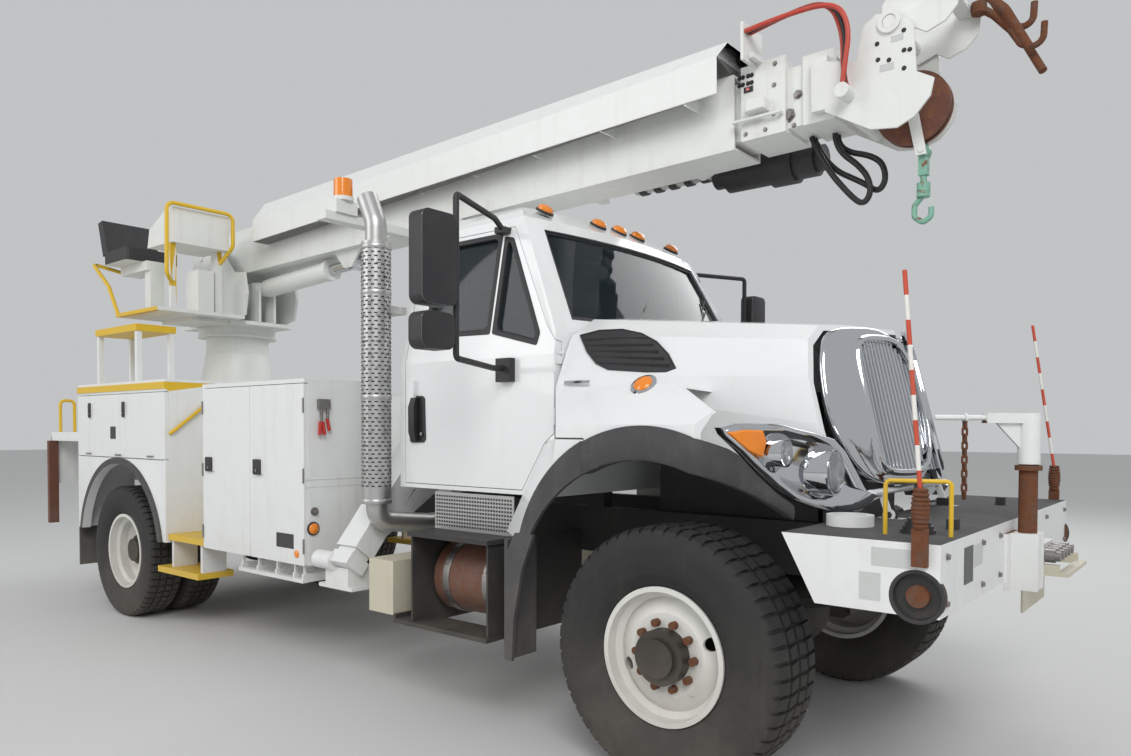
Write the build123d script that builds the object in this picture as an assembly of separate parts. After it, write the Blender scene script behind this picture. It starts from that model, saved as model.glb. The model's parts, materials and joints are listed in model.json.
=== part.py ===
from build123d import *
import os
from math import atan2, cos, degrees, hypot, radians, sin

# Post driver truck: a four-wheel-drive utility truck that carries a digger derrick.
# Millimetres. While it is modelled, X runs forward from the front axle, Y to the left and Z up
# from the ground. The finished pieces are moved along X, so that the origin lies on the ground
# under the middle of the overall length.

# Overall reaches and axles
FRONT_REACH = 1312.0
REAR_REACH = 6762.0
WHEELBASE = 5118.0
BODY_HALF = 1219.0
FRAME_HALF = 430.0
FRAME_TOP = 1090.0
FRAME_DEPTH = 250.0
RAIL_FLANGE = 80.0
RAIL_WALL = 10.0
DOOR_GAP = 4.0
DOOR_SWEEP = 10.0
SEAT_GAP = 0.3

# Tyres and rims
FRONT_TYRE_R = 555.0
FRONT_TYRE_WIDTH = 385.0
FRONT_WHEEL_Y = 998.0
REAR_TYRE_R = 525.0
REAR_TYRE_WIDTH = 279.0
REAR_OUTER_Y = 1074.0
TWIN_SPACING = 330.0
BEAD_R = 286.0
RIM_FLANGE_R = 298.5
NUT_CIRCLE_R = 142.9
NUT_COUNT = 10
NUT_R = 17.0
FRONT_AXLE_Z = FRONT_TYRE_R
REAR_AXLE_Z = REAR_TYRE_R

# Knuckles, axles and springs
KINGPIN_Y = 858.0
KINGPIN_R = 25.0
KNUCKLE_R = 44.0
YOKE_HALF_HEIGHT = 130.0
YOKE_LUG = 26.0
SPINDLE_R = 42.0
HUB_BORE_CLEARANCE = 0.5
AXLE_TUBE_R = 70.0
SPRING_WIDTH = 76.0
SPRING_THICK = 62.0
SPRING_HALF_LENGTH = 660.0
HANGER_DEPTH = 46.0

# Cab
CAB_HALF = 1000.0
CAB_BACK = -1886.0
CAB_FRONT = -722.0
CAB_FLOOR = 1186.0
CAB_WALL = 48.0
SILL_Z = 2008.0
WAIST_Z = 1890.0
PILLAR_FOOT_X = -740.0
WIND_FOOT_X = -612.0
WIND_TOP_X = -962.0
PILLAR_TOP_X = -1062.0
ROOF_EDGE_Z = 2640.0
ROOF_TOP_Z = 2742.0
ROOF_HALF = 852.0
SILL_HALF = 972.0
DOOR_REAR = -1838.0
DOOR_BOTTOM = 1212.0
DOOR_TOP = 2588.0
GLASS_THICK = 6.0
GLASS_DEPTH = 20.0

# Hood, fenders and grille
HOOD_REAR = -712.0
HOOD_WALL = 22.0
HOOD_GAP = 8.0
GRILLE_TOP = (617.0, 1992.0)
GRILLE_FOOT = (800.0, 1292.0)
GRILLE_SWEEP = 0.316
GRILLE_BARS = 12
BAR_WIDTH = 20.0
BAR_DEPTH = 30.0
FENDER_HALF = 1190.0
ARCH_X = -83.0
ARCH_Z = 695.0
ARCH_R = 722.0
FLARE_INNER_R = 692.0
FLARE_OUTER = (-84.0, 836.0)
FLARE_OUTER_R = 701.0
FENDER_SKIN = 22.0
TAIL_X = -856.0
TAIL_BOTTOM = 405.0
HOOD_PIVOT = (700.0, 1150.0)
HINGE_PIN_R = 14.0

# Front bumper box and what stands on it
BUMPER_FRONT = 1127.0
BUMPER_HALF = 1195.0
BUMPER_TOP = 1137.0
BUMPER_BOTTOM = 886.0
BUMPER_WALL = 6.0
POST_X = 1190.0
POST_Y = -156.0
POST_R = 36.5
POST_SLEEVE_R = 44.0
POST_SLEEVE_FOOT = 1378.0
POST_TOP = 1593.0
ARM_REACH = 421.0
# the arm is parked turned this far towards the right, clear of the hood's path
ARM_TURN = 45.0
CHAIN_X = 904.0
CHAIN_PITCH = 29.4

# Cabinets, boxes and bed
CABINET_FRONT = -2523.0
CABINET_REAR = -3761.0
CABINET_BOTTOM = 677.0
CABINET_TOP = 1823.0
CABINET_DEPTH = 460.0
SHEET_WALL = 24.0
PANEL_THICK = 28.0
BOX_FRONT = -4324.0
BOX_REAR = -5931.0
BOX_TOP = 1812.0
BOX_DOOR_BOTTOM = 1280.0
BODY_BOTTOM = 664.0
WHEEL_ARCH_R = 705.0
BED_Z = 1112.0
BED_THICK = 38.0
TAIL_REAR = -6715.0

# Derrick
PEDESTAL_X = -5467.0
PEDESTAL_TOP = 2376.0
RING_R = 345.0
RING_TOP = 2440.0
TURRET_PLATE_TOP = 2470.0
CHEEK_Y = 232.0
CHEEK_THICK = 24.0
BOOM_PIVOT_X = -5640.0
BOOM_PIVOT_Z = 3100.0
BOOM_RISE = 1.0
BOOM_PIN_R = 38.0
BOOM_WIDTH = 300.0
BOOM_HEIGHT = 390.0
BOOM_WALL = 12.0
BOOM_MOUTH = 5428.0
STAGE_WIDTH = 250.0
STAGE_HEIGHT = 300.0
COVER_HALF = 300.0
COVER_RIDGE_HALF = 180.0
COVER_START = 960.0
COVER_WALL = 8.0
CYLINDER_PIN_X = -5010.0
CYLINDER_PIN_Z = 2770.0
CYLINDER_EYE_X = -3640.0
CYLINDER_EYE_DROP = 86.0
BARREL_R = 80.0
ROD_R = 45.0
TIP_HALF = 200.0
TIP_PLATE = 12.0
SHEAVE_R = 170.0
STAGE_TRAVEL = 2300.0
HOOK_PIN_X = 702.0
HOOK_PIN_Z = 2826.0
SHEAVE_X = 655.0
SHEAVE_Z = 3035.0
GUIDE_PIN_R = 30.0
HOSE_BOSS_X = 415.0
HOSE_BOSS_Z = 3100.0
HOSE_BOSS_R = 34.0

os.makedirs("parts", exist_ok=True)
TRUCK_SHIFT = (REAR_REACH - FRONT_REACH) / 2


def save(shape, node):
    """Set a finished piece on the truck's origin and write it as a node."""
    export_step(Pos(TRUCK_SHIFT, 0, 0) * shape, f"parts/{node}.step")


def block(x0, x1, y0, y1, z0, z1):
    """A box between two faces on each axis."""
    return Pos((x0 + x1) / 2, (y0 + y1) / 2, (z0 + z1) / 2) * Box(abs(x1 - x0), abs(y1 - y0), abs(z1 - z0))


def side_prism(points, y0, y1):
    """An outline in X and Z, drawn out from y0 to y1."""
    face = make_face(Polyline(*points, close=True))
    return extrude(Plane.XZ.offset(-max(y0, y1)) * face, abs(y1 - y0))


def front_prism(points, x0, x1):
    """An outline in Y and Z, drawn out from x0 to x1."""
    face = make_face(Polyline(*points, close=True))
    return extrude(Plane.YZ.offset(min(x0, x1)) * face, abs(x1 - x0))


def top_prism(points, z0, z1):
    """An outline in X and Y, drawn out from z0 to z1."""
    face = make_face(Polyline(*points, close=True))
    return extrude(Plane.XY.offset(min(z0, z1)) * face, abs(z1 - z0))


def rod_x(y, z, radius, x0, x1):
    """A round bar along X."""
    return Pos((x0 + x1) / 2, y, z) * Rot(0, 90, 0) * Cylinder(radius, abs(x1 - x0))


def rod_y(x, z, radius, y0, y1):
    """A round bar along Y."""
    return Pos(x, (y0 + y1) / 2, z) * Rot(90, 0, 0) * Cylinder(radius, abs(y1 - y0))


def rod_z(x, y, radius, z0, z1):
    """A round bar along Z."""
    return Pos(x, y, (z0 + z1) / 2) * Cylinder(radius, abs(z1 - z0))


def pipe(points, bend, diameter):
    """A round tube that follows a route with rounded corners."""
    route = FilletPolyline(*points, radius=bend)
    section = Plane(route @ 0, z_dir=route % 0) * Circle(diameter / 2)
    return sweep(section, path=route)


def left_of(shape):
    """The same piece on the left side of the truck."""
    return mirror(shape, about=Plane.XZ)


def both_sides(shape):
    """A piece and its mirror image, as separate solids of one node."""
    return Compound(children=[*shape.solids(), *left_of(shape).solids()])


def group(*shapes):
    """Several separate solids of one node."""
    return Compound(children=[solid for shape in shapes for solid in shape.solids()])


# Frame: two channel rails, cross members, spring hangers and the rear hitch plate
RAIL_FRONT = 730.0
RAIL_REAR = -6390.0
FRAME_BOTTOM = FRAME_TOP - FRAME_DEPTH
CROSS_MEMBERS_X = (430.0, 0.0, -1250.0, -2350.0, -3500.0, -4400.0, -5850.0, -6340.0)
CROSS_WIDTH = 90.0
CAB_MOUNTS_X = (-900.0, -1790.0)
SPRING_Y = FRAME_HALF - RAIL_FLANGE / 2


def frame_rail():
    """The right rail, a channel open towards the middle of the truck."""
    outer = -FRAME_HALF
    inner = -FRAME_HALF + RAIL_FLANGE
    web = -FRAME_HALF + RAIL_WALL
    low = FRAME_BOTTOM
    section = [
        (outer, low), (inner, low), (inner, low + RAIL_WALL), (web, low + RAIL_WALL),
        (web, FRAME_TOP - RAIL_WALL), (inner, FRAME_TOP - RAIL_WALL), (inner, FRAME_TOP), (outer, FRAME_TOP),
    ]
    return front_prism(section, RAIL_REAR, RAIL_FRONT)


def spring_hanger(x):
    """A hanger block under the rail that takes one end of a leaf spring."""
    return block(x - 45, x + 45, -SPRING_Y - SPRING_WIDTH / 2, -SPRING_Y + SPRING_WIDTH / 2,
                 FRAME_BOTTOM - HANGER_DEPTH, FRAME_BOTTOM)


def make_frame():
    rails = frame_rail() + left_of(frame_rail())
    for x in CROSS_MEMBERS_X:
        reach = FRAME_HALF - RAIL_WALL
        rails += block(x - CROSS_WIDTH / 2, x + CROSS_WIDTH / 2, -reach, reach, FRAME_BOTTOM + 20, FRAME_BOTTOM + 120)
    for axle_x in (0.0, -WHEELBASE):
        for end in (-SPRING_HALF_LENGTH, SPRING_HALF_LENGTH):
            hanger = spring_hanger(axle_x + end)
            rails += hanger + left_of(hanger)
    for side in (-1, 1):
        rails += block(670, 730, side * 392, side * 408, FRAME_TOP - 5, HOOD_PIVOT[1] + 24)
        rails += rod_y(*HOOD_PIVOT, HINGE_PIN_R, side * 400, side * 428)
    for x in CAB_MOUNTS_X:
        mount = block(x - 55, x + 55, -FRAME_HALF, -FRAME_HALF + RAIL_FLANGE, FRAME_TOP - 2, CAB_FLOOR - SEAT_GAP)
        rails += mount + left_of(mount)
    hitch = block(RAIL_REAR - 16, RAIL_REAR, -FRAME_HALF, FRAME_HALF, FRAME_BOTTOM - 120, FRAME_TOP)
    return rails + hitch


# Axles: a drive axle in front with yokes for the knuckles, a drive axle behind, four leaf springs
FRONT_DIFF_Y = 170.0
FRONT_DIFF_R = 190.0
REAR_DIFF_R = 215.0
YOKE_WEB_Y = KINGPIN_Y - KNUCKLE_R - 30.0
REAR_SPINDLE_END = REAR_OUTER_Y - 40.0


def leaf_spring(axle_x, axle_z):
    """One leaf pack on the right side, as three stacked leaves that bend down to the axle pad."""
    top = FRAME_BOTTOM - HANGER_DEPTH - SEAT_GAP
    low = axle_z + AXLE_TUBE_R + 8
    half = SPRING_HALF_LENGTH
    points = [
        (axle_x - half - 30, top), (axle_x - half + 40, top), (axle_x - 110, low + SPRING_THICK),
        (axle_x + 110, low + SPRING_THICK), (axle_x + half - 40, top), (axle_x + half + 30, top),
        (axle_x + half + 30, top - 26), (axle_x + half * 0.5, (top + low) / 2 - 24),
        (axle_x + 110, low), (axle_x - 110, low), (axle_x - half * 0.5, (top + low) / 2 - 24),
        (axle_x - half - 30, top - 26),
    ]
    pack = side_prism(points, -SPRING_Y - SPRING_WIDTH / 2 + 3, -SPRING_Y + SPRING_WIDTH / 2 - 3)
    pad = block(axle_x - 100, axle_x + 100, -SPRING_Y - SPRING_WIDTH / 2, -SPRING_Y + SPRING_WIDTH / 2,
                axle_z, low + 1)
    return pack + pad


def front_yoke():
    """The right end of the front axle: two lugs round the kingpin, joined by a web."""
    z = FRONT_AXLE_Z
    web = block(-52, 52, -YOKE_WEB_Y, -YOKE_WEB_Y + 30, z - YOKE_HALF_HEIGHT - YOKE_LUG, z + YOKE_HALF_HEIGHT + YOKE_LUG)
    lugs = Part()
    for sign in (-1, 1):
        z0 = z + sign * YOKE_HALF_HEIGHT
        z1 = z + sign * (YOKE_HALF_HEIGHT + YOKE_LUG)
        lugs += block(-52, 52, -KINGPIN_Y, -YOKE_WEB_Y + 5, z0, z1) + rod_z(0, -KINGPIN_Y, 52, z0, z1)
    bore = rod_z(0, -KINGPIN_Y, KINGPIN_R + 0.3, z - YOKE_HALF_HEIGHT - 60, z + YOKE_HALF_HEIGHT + 60)
    return web + lugs - bore


def make_axles():
    front = rod_y(0, FRONT_AXLE_Z, AXLE_TUBE_R, -YOKE_WEB_Y + 10, YOKE_WEB_Y - 10)
    front += Pos(0, FRONT_DIFF_Y, FRONT_AXLE_Z) * Sphere(FRONT_DIFF_R)
    front += rod_x(FRONT_DIFF_Y, FRONT_AXLE_Z, 75, -300, 0)
    front += front_yoke() + left_of(front_yoke())
    front += leaf_spring(0.0, FRONT_AXLE_Z) + left_of(leaf_spring(0.0, FRONT_AXLE_Z))
    rear = rod_y(-WHEELBASE, REAR_AXLE_Z, AXLE_TUBE_R, -REAR_SPINDLE_END, REAR_SPINDLE_END)
    rear += Pos(-WHEELBASE, 0, REAR_AXLE_Z) * Sphere(REAR_DIFF_R)
    rear += rod_x(0, REAR_AXLE_Z, 80, -WHEELBASE, -WHEELBASE + 330)
    spring = leaf_spring(-WHEELBASE, REAR_AXLE_Z)
    rear += spring + left_of(spring)
    return group(front, rear)


# Knuckle: a kingpin through the yoke and a spindle for the hub
def make_knuckle_right():
    z = FRONT_AXLE_Z
    barrel = rod_z(0, -KINGPIN_Y, KNUCKLE_R, z - YOKE_HALF_HEIGHT + 2, z + YOKE_HALF_HEIGHT - 2)
    pin = rod_z(0, -KINGPIN_Y, KINGPIN_R, z - YOKE_HALF_HEIGHT - YOKE_LUG, z + YOKE_HALF_HEIGHT + YOKE_LUG)
    spindle = rod_y(0, z, SPINDLE_R, -KINGPIN_Y, -FRONT_WHEEL_Y - 60)
    plate = rod_y(0, z, YOKE_HALF_HEIGHT - 6, -KINGPIN_Y - KNUCKLE_R + 4, -KINGPIN_Y - KNUCKLE_R - 8)
    return barrel + pin + spindle + plate


# Tyres and rims, drawn about the Y axis at the origin and then put in place
def tyre(radius, width, rim_half):
    """A tyre with a rounded shoulder, a bulged sidewall and grooves round the tread."""
    half = width / 2
    bead_half = rim_half - 7
    points = [
        (BEAD_R + SEAT_GAP, -bead_half + 5), (RIM_FLANGE_R + 3, -bead_half), (BEAD_R + 60, -half * 0.9),
        ((BEAD_R + radius) / 2 + 20, -half), (radius - 55, -half * 0.97), (radius - 14, -half * 0.88),
        (radius, -half * 0.76),
    ]
    for groove_y in (-half * 0.4, 0.0, half * 0.4):
        points += [(radius, groove_y - 9), (radius - 15, groove_y - 6), (radius - 15, groove_y + 6), (radius, groove_y + 9)]
    points += [
        (radius, half * 0.76), (radius - 14, half * 0.88), (radius - 55, half * 0.97),
        ((BEAD_R + radius) / 2 + 20, half), (BEAD_R + 60, half * 0.9), (RIM_FLANGE_R + 3, bead_half),
        (BEAD_R + SEAT_GAP, bead_half - 5),
    ]
    return revolve(make_face(Polyline(*points, close=True)), Axis.Y)


def rim(half, disc_y, disc_hole_r, hand_holes):
    """A rim whose barrel is half wide each way, with its disc at disc_y, outer side towards -Y."""
    barrel_points = [
        (RIM_FLANGE_R, -half - 6), (RIM_FLANGE_R, -half + 6), (BEAD_R, -half + 10), (BEAD_R, -half + 40),
        (BEAD_R - 28, -half + 58), (BEAD_R - 28, half - 58), (BEAD_R, half - 40), (BEAD_R, half - 10),
        (RIM_FLANGE_R, half - 6), (RIM_FLANGE_R, half + 6), (BEAD_R - 10, half + 6), (BEAD_R - 14, half - 44),
        (BEAD_R - 40, half - 62), (BEAD_R - 40, -half + 62), (BEAD_R - 14, -half + 44), (BEAD_R - 10, -half - 6),
    ]
    wheel = revolve(make_face(Polyline(*barrel_points, close=True)), Axis.Y)
    dish = -42 if disc_y > 0 else 42
    disc_points = [
        (disc_hole_r, disc_y - 7), (180, disc_y - 7), (BEAD_R - 32, disc_y + dish - 8),
        (BEAD_R - 32, disc_y + dish + 8), (176, disc_y + 7), (disc_hole_r, disc_y + 7),
    ]
    wheel += revolve(make_face(Polyline(*disc_points, close=True)), Axis.Y)
    for n in range(hand_holes):
        wheel -= PolarLocations_y(n * 360 / hand_holes + 20, 218) * (Rot(90, 0, 0) * Cylinder(29, 2 * half))
    return wheel


def PolarLocations_y(angle, radius):
    """A place at an angle round the Y axis."""
    return Pos(radius * cos(radians(angle)), 0, radius * sin(radians(angle)))


def hub(face_y, flange_y, cap_y, cap_r):
    """A hub with wheel nuts: its flange lies on the disc and its cap stands out of it."""
    body = rod_y(0, 0, 118, face_y, flange_y)
    cap = rod_y(0, 0, cap_r, cap_y, face_y)
    nuts = Part()
    for n in range(NUT_COUNT):
        place = PolarLocations_y(n * 360 / NUT_COUNT, NUT_CIRCLE_R)
        nuts += place * rod_y(0, 0, NUT_R, flange_y - 30, flange_y + 2)
    return body + cap + nuts


FRONT_RIM_HALF = 149.0
REAR_RIM_HALF = 106.0
FRONT_DISC_Y = -104.0
REAR_DISC_Y = 62.0


def make_front_wheel_right():
    wheel = rim(FRONT_RIM_HALF, FRONT_DISC_Y, 100, 2)
    wheel += hub(-176, FRONT_DISC_Y - 6, -196, 82)
    wheel += rod_y(0, 0, 118, FRONT_DISC_Y - 6, 20)
    wheel -= rod_y(0, 0, SPINDLE_R + HUB_BORE_CLEARANCE, -62, 30)
    return Pos(0, -FRONT_WHEEL_Y, FRONT_AXLE_Z) * wheel


def make_front_tyre_right():
    return Pos(0, -FRONT_WHEEL_Y, FRONT_AXLE_Z) * tyre(FRONT_TYRE_R, FRONT_TYRE_WIDTH, FRONT_RIM_HALF)


def make_rear_wheels_right():
    """The twin rims bolted disc to disc on one hub."""
    outer = rim(REAR_RIM_HALF, REAR_DISC_Y, 100, 2)
    inner = Rot(0, 0, 180) * rim(REAR_RIM_HALF, REAR_DISC_Y, 100, 2)
    middle = REAR_OUTER_Y - TWIN_SPACING / 2
    hub_core = rod_y(0, 0, 118, -REAR_OUTER_Y + REAR_DISC_Y - 70, -REAR_OUTER_Y + TWIN_SPACING - REAR_DISC_Y + 30)
    bore_end = REAR_SPINDLE_END + 3
    wheel = Pos(0, -REAR_OUTER_Y, 0) * outer
    wheel += Pos(0, -REAR_OUTER_Y + TWIN_SPACING, 0) * inner
    spacer_half = TWIN_SPACING / 2 - REAR_DISC_Y + 8
    wheel += Pos(0, -middle, 0) * rod_y(0, 0, 175, -spacer_half, spacer_half)
    wheel += hub_core
    wheel += rod_y(0, 0, 92, -REAR_OUTER_Y + REAR_DISC_Y - 108, -REAR_OUTER_Y)
    for n in range(NUT_COUNT):
        place = PolarLocations_y(n * 360 / NUT_COUNT, NUT_CIRCLE_R)
        wheel += place * rod_y(0, 0, NUT_R, -REAR_OUTER_Y + REAR_DISC_Y - 38, -REAR_OUTER_Y + REAR_DISC_Y)
    wheel -= rod_y(0, 0, AXLE_TUBE_R + HUB_BORE_CLEARANCE, -bore_end, 0)
    return Pos(-WHEELBASE, 0, REAR_AXLE_Z) * wheel


def make_rear_tyres_right():
    one = tyre(REAR_TYRE_R, REAR_TYRE_WIDTH, REAR_RIM_HALF)
    outer = Pos(-WHEELBASE, -REAR_OUTER_Y, REAR_AXLE_Z) * one
    inner = Pos(-WHEELBASE, -REAR_OUTER_Y + TWIN_SPACING, REAR_AXLE_Z) * one
    return group(outer, inner)


# Engine: one plain block on its cross members, and the radiator behind the grille
ENGINE_REAR = -560.0
ENGINE_FRONT = 330.0
ENGINE_HALF = 300.0
ENGINE_TOP = 1700.0
RADIATOR_X = 430.0


def make_engine():
    seat = FRAME_BOTTOM + 120
    block_part = block(ENGINE_REAR, ENGINE_FRONT, -ENGINE_HALF, ENGINE_HALF, seat, ENGINE_TOP)
    radiator = block(RADIATOR_X - 40, RADIATOR_X + 30, -390, 390, FRAME_TOP, 1830)
    foot = block(RADIATOR_X - 40, RADIATOR_X + 30, -FRAME_HALF + RAIL_FLANGE, FRAME_HALF - RAIL_FLANGE, seat, FRAME_TOP)
    return group(block_part, radiator + foot)


# Cab: a hollow shell made from plan sections, with a bowed windshield and a crowned roof
def plan_section(z, back, pillar_x, nose_x, half, inset):
    """A cab section in plan at one height, its front bowed forward between the pillars."""
    side = half - inset
    rear = back + inset
    corner = pillar_x - inset
    nose = nose_x - inset
    outline = Polyline((corner, -side), (rear, -side), (rear, side), (corner, side))
    bow = ThreePointArc((corner, side), (nose, 0), (corner, -side))
    return Plane.XY.offset(z) * make_face(outline + bow)


def cab_solid(inset):
    """The cab's outer form, or the form that lies an inset further in."""
    low = CAB_FLOOR + inset
    side = CAB_HALF - inset
    lower = block(CAB_BACK + inset, CAB_FRONT - inset, -side, side, low, WAIST_Z)
    sill = plan_section(SILL_Z, CAB_BACK, PILLAR_FOOT_X, WIND_FOOT_X, SILL_HALF, inset)
    roof_z = ROOF_EDGE_Z - inset * 0.4
    roof = plan_section(roof_z, CAB_BACK, PILLAR_TOP_X, WIND_TOP_X, ROOF_HALF, inset)
    house = loft([sill, roof], ruled=True)
    cap = plan_section(ROOF_TOP_Z - inset, CAB_BACK + 90, PILLAR_TOP_X - 150, WIND_TOP_X - 150, ROOF_HALF - 150, inset)
    crown = loft([roof, cap], ruled=True)
    cowl = plan_section(WAIST_Z, CAB_BACK, CAB_FRONT, CAB_FRONT + 12, CAB_HALF, inset)
    waist = loft([cowl, sill], ruled=True)
    return lower + waist + house + crown


DOOR_OUTLINE = [
    (CAB_FRONT - DOOR_GAP, SILL_Z - 60), (PILLAR_FOOT_X - 62, SILL_Z + 30),
    (PILLAR_TOP_X - 52, DOOR_TOP), (DOOR_REAR + 40, DOOR_TOP), (DOOR_REAR, DOOR_TOP - 60),
    (DOOR_REAR, DOOR_BOTTOM), (-936, DOOR_BOTTOM), (-786, 1452), (CAB_FRONT - DOOR_GAP, 1500),
]
# the opening in the cab, wider at the top behind the door, where the leaning frame swings past
DOOR_HOLE = [(x, z) if (x, z) != (DOOR_REAR, DOOR_TOP - 60) else (DOOR_REAR - DOOR_SWEEP, DOOR_TOP - 60) for x, z in DOOR_OUTLINE]
DOOR_RETURN_Y = -CAB_HALF + CAB_WALL + 8
DOOR_HINGE = (-719.0, -1004.0)
KNUCKLE_PIN_R = 4.5
MAIN_PANE = [(-1700, 2040), (-1206, 2030), (-1206, 2540), (-1240, 2556), (-1680, 2556), (-1700, 2530)]
QUARTER_PANE = [(-1166, 2028), (-858, 1952), (-850, 2000), (-1118, 2520), (-1166, 2530)]


def grown(points, amount):
    """An outline moved outwards by an amount, or inwards where it is negative."""
    face = make_face(Polyline(*points, close=True))
    face = offset(face, amount, kind=Kind.INTERSECTION)
    return face


def side_cut(points, amount, y0, y1):
    """A prism of a grown outline in X and Z."""
    return extrude(Plane.XZ.offset(-max(y0, y1)) * grown(points, amount), abs(y1 - y0))


WIND_CUT = [(-840, 2072), (840, 2072), (752, 2580), (-752, 2580)]
REAR_PANE = [(-520, 2110), (520, 2110), (490, 2500), (-490, 2500)]
INNER_SIDE = 700.0


def door_zone(outline, gap):
    """The door's share of the cab wall, grown by a gap; the front wall and the floor stay with the cab."""
    zone = side_cut(outline, gap, -CAB_HALF - 60, -INNER_SIDE)
    inner_y = -INNER_SIDE + 10
    zone -= block(DOOR_REAR - 30, CAB_FRONT + 20, DOOR_RETURN_Y + gap, inner_y, CAB_FLOOR, WAIST_Z)
    return zone - block(PILLAR_FOOT_X - 100, CAB_FRONT + 20, DOOR_RETURN_Y + gap, inner_y, WAIST_Z - 1, SILL_Z + 90)


def front_cut(points, amount, x0, x1):
    """A prism of a grown outline in Y and Z."""
    return extrude(Plane.YZ.offset(min(x0, x1)) * grown(points, amount), abs(x1 - x0))


def make_cab(shell):
    """The shell with its door openings, windshield and rear window, and the roof lamps."""
    cab = shell
    door_hole = door_zone(DOOR_HOLE, DOOR_GAP)
    cab = cab - door_hole - left_of(door_hole)
    arm_rear = CAB_FRONT - DOOR_GAP + SEAT_GAP
    for z0, z1 in ((1580, 1620), (1840, 1880)):
        knuckle = rod_z(*DOOR_HINGE, KNUCKLE_PIN_R, z0 + SEAT_GAP, z1)
        knuckle += block(arm_rear, DOOR_HINGE[0] + KNUCKLE_PIN_R / 2, DOOR_HINGE[1] + 1, -905, z0 + SEAT_GAP, z1)
        cab += knuckle + left_of(knuckle)
    cab = cab - front_cut(WIND_CUT, 0.0, -1300, -400) - front_cut(REAR_PANE, 0.0, CAB_BACK - 40, CAB_BACK + 120)
    extension = fender_extension()
    return cab + extension + left_of(extension)


def make_cab_glass():
    """Windshield and rear window, each a thin layer in the depth of its opening."""
    layer = cab_solid(GLASS_DEPTH) - cab_solid(GLASS_DEPTH + GLASS_THICK)
    wind = layer & front_cut(WIND_CUT, -SEAT_GAP, -1300, -400)
    back = layer & front_cut(REAR_PANE, -SEAT_GAP, CAB_BACK - 40, CAB_BACK + 120)
    return group(wind, back)


def make_door_right(shell):
    """The right door: the side wall inside the door outline, with its two window openings."""
    door = shell & door_zone(DOOR_OUTLINE, 0.0)
    for pane in (MAIN_PANE, QUARTER_PANE):
        door = door - side_cut(pane, 0.0, -CAB_HALF - 60, -INNER_SIDE)
    handle = block(-1792, -1742, -CAB_HALF - 26, -CAB_HALF + 1, 1560, 1790)
    for z0, z1 in ((1540, 1580), (1800, 1840)):
        door += rod_z(*DOOR_HINGE, KNUCKLE_PIN_R, z0, z1) + block(-728, DOOR_HINGE[0], -1004, -996, z0, z1)
    return door + handle


def make_door_glass_right():
    layer = cab_solid(GLASS_DEPTH) - cab_solid(GLASS_DEPTH + GLASS_THICK)
    panes = [layer & side_cut(pane, -SEAT_GAP, -CAB_HALF - 60, -INNER_SIDE) for pane in (MAIN_PANE, QUARTER_PANE)]
    return group(*panes)


# Cab interior: two seats, dashboard and steering wheel
FLOOR_TOP = CAB_FLOOR + CAB_WALL
CHAIR_Y = 470.0


def cab_chair(y):
    base = block(-1560, -1150, y - 150, y + 150, FLOOR_TOP, FLOOR_TOP + 240)
    cushion = block(-1640, -1110, y - 240, y + 240, FLOOR_TOP + 240, FLOOR_TOP + 380)
    back = side_prism([(-1640, FLOOR_TOP + 300), (-1560, FLOOR_TOP + 370), (-1660, FLOOR_TOP + 980),
                       (-1760, FLOOR_TOP + 980)], y - 235, y + 235)
    rest = side_prism([(-1735, FLOOR_TOP + 975), (-1670, FLOOR_TOP + 975), (-1690, FLOOR_TOP + 1130),
                       (-1750, FLOOR_TOP + 1130)], y - 130, y + 130)
    return base + cushion + back + rest


DASH_HALF = 850.0


def make_cab_interior():
    front_wall = CAB_FRONT - CAB_WALL
    dash = side_prism([(front_wall, 1560), (front_wall, 1985), (-880, 1985), (-1000, 1900), (-1000, 1760),
                       (-900, 1560)], -DASH_HALF, DASH_HALF)
    column = Pos(-1060, CHAIR_Y, 1850) * Rot(0, -58, 0) * Cylinder(28, 240)
    wheel = Pos(-1150, CHAIR_Y, 1905) * Rot(0, -58, 0) * Torus(215, 15)
    spokes = Pos(-1150, CHAIR_Y, 1905) * Rot(0, -58, 0) * (Box(30, 430, 16) + Box(220, 30, 16) + Cylinder(45, 26))
    return group(cab_chair(-CHAIR_Y), cab_chair(CHAIR_Y), dash + column + wheel + spokes)


# Mirror: a tall glass and a convex one on a loop that springs from the door
def make_mirror_right():
    y_mid = -1566.0
    tall = block(-1010, -920, y_mid - 105, y_mid + 105, 2080, 2500)
    tall = fillet(tall.edges().filter_by(Axis.X), 40)
    round_one = block(-1020, -930, y_mid - 100, y_mid + 100, 1880, 2050)
    round_one = fillet(round_one.edges().filter_by(Axis.X), 45)
    loop = pipe([(-1170, -890, 2569), (-1120, -1010, 2605), (-965, y_mid + 140, 2615), (-965, y_mid + 140, 1850),
                 (-1030, -1110, 1825), (-1035, -1015, 1830)], 24, 30)
    arms = block(-980, -950, y_mid + 100, y_mid + 142, 2280, 2320) + block(-985, -950, y_mid + 95, y_mid + 142, 1950, 1980)
    foot = block(-1085, -985, -CAB_HALF - 40, -CAB_HALF - SEAT_GAP, 1760, 1880)
    top_foot = block(-1200, -1140, -930, -840, 2553, 2586)
    return tall + round_one + (loop + arms + foot + top_foot) - cab_solid(-SEAT_GAP)


# Hood: centre body lofted from the cowl to the nose, cut by the grille's slope, with two fenders
def section_at(x, half_points):
    """A closed section in Y and Z from its right half, listed from the middle line outwards."""
    right = [(-y, z) for y, z in half_points]
    left = [(y, z) for y, z in reversed(half_points)]
    if half_points[0][0] == 0:
        left = left[:-1]
    if half_points[-1][0] == 0:
        left = left[1:]
    return Plane.YZ.offset(x) * make_face(Polyline(*right, *left, close=True))


HOOD_LOW = 1226.0
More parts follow.
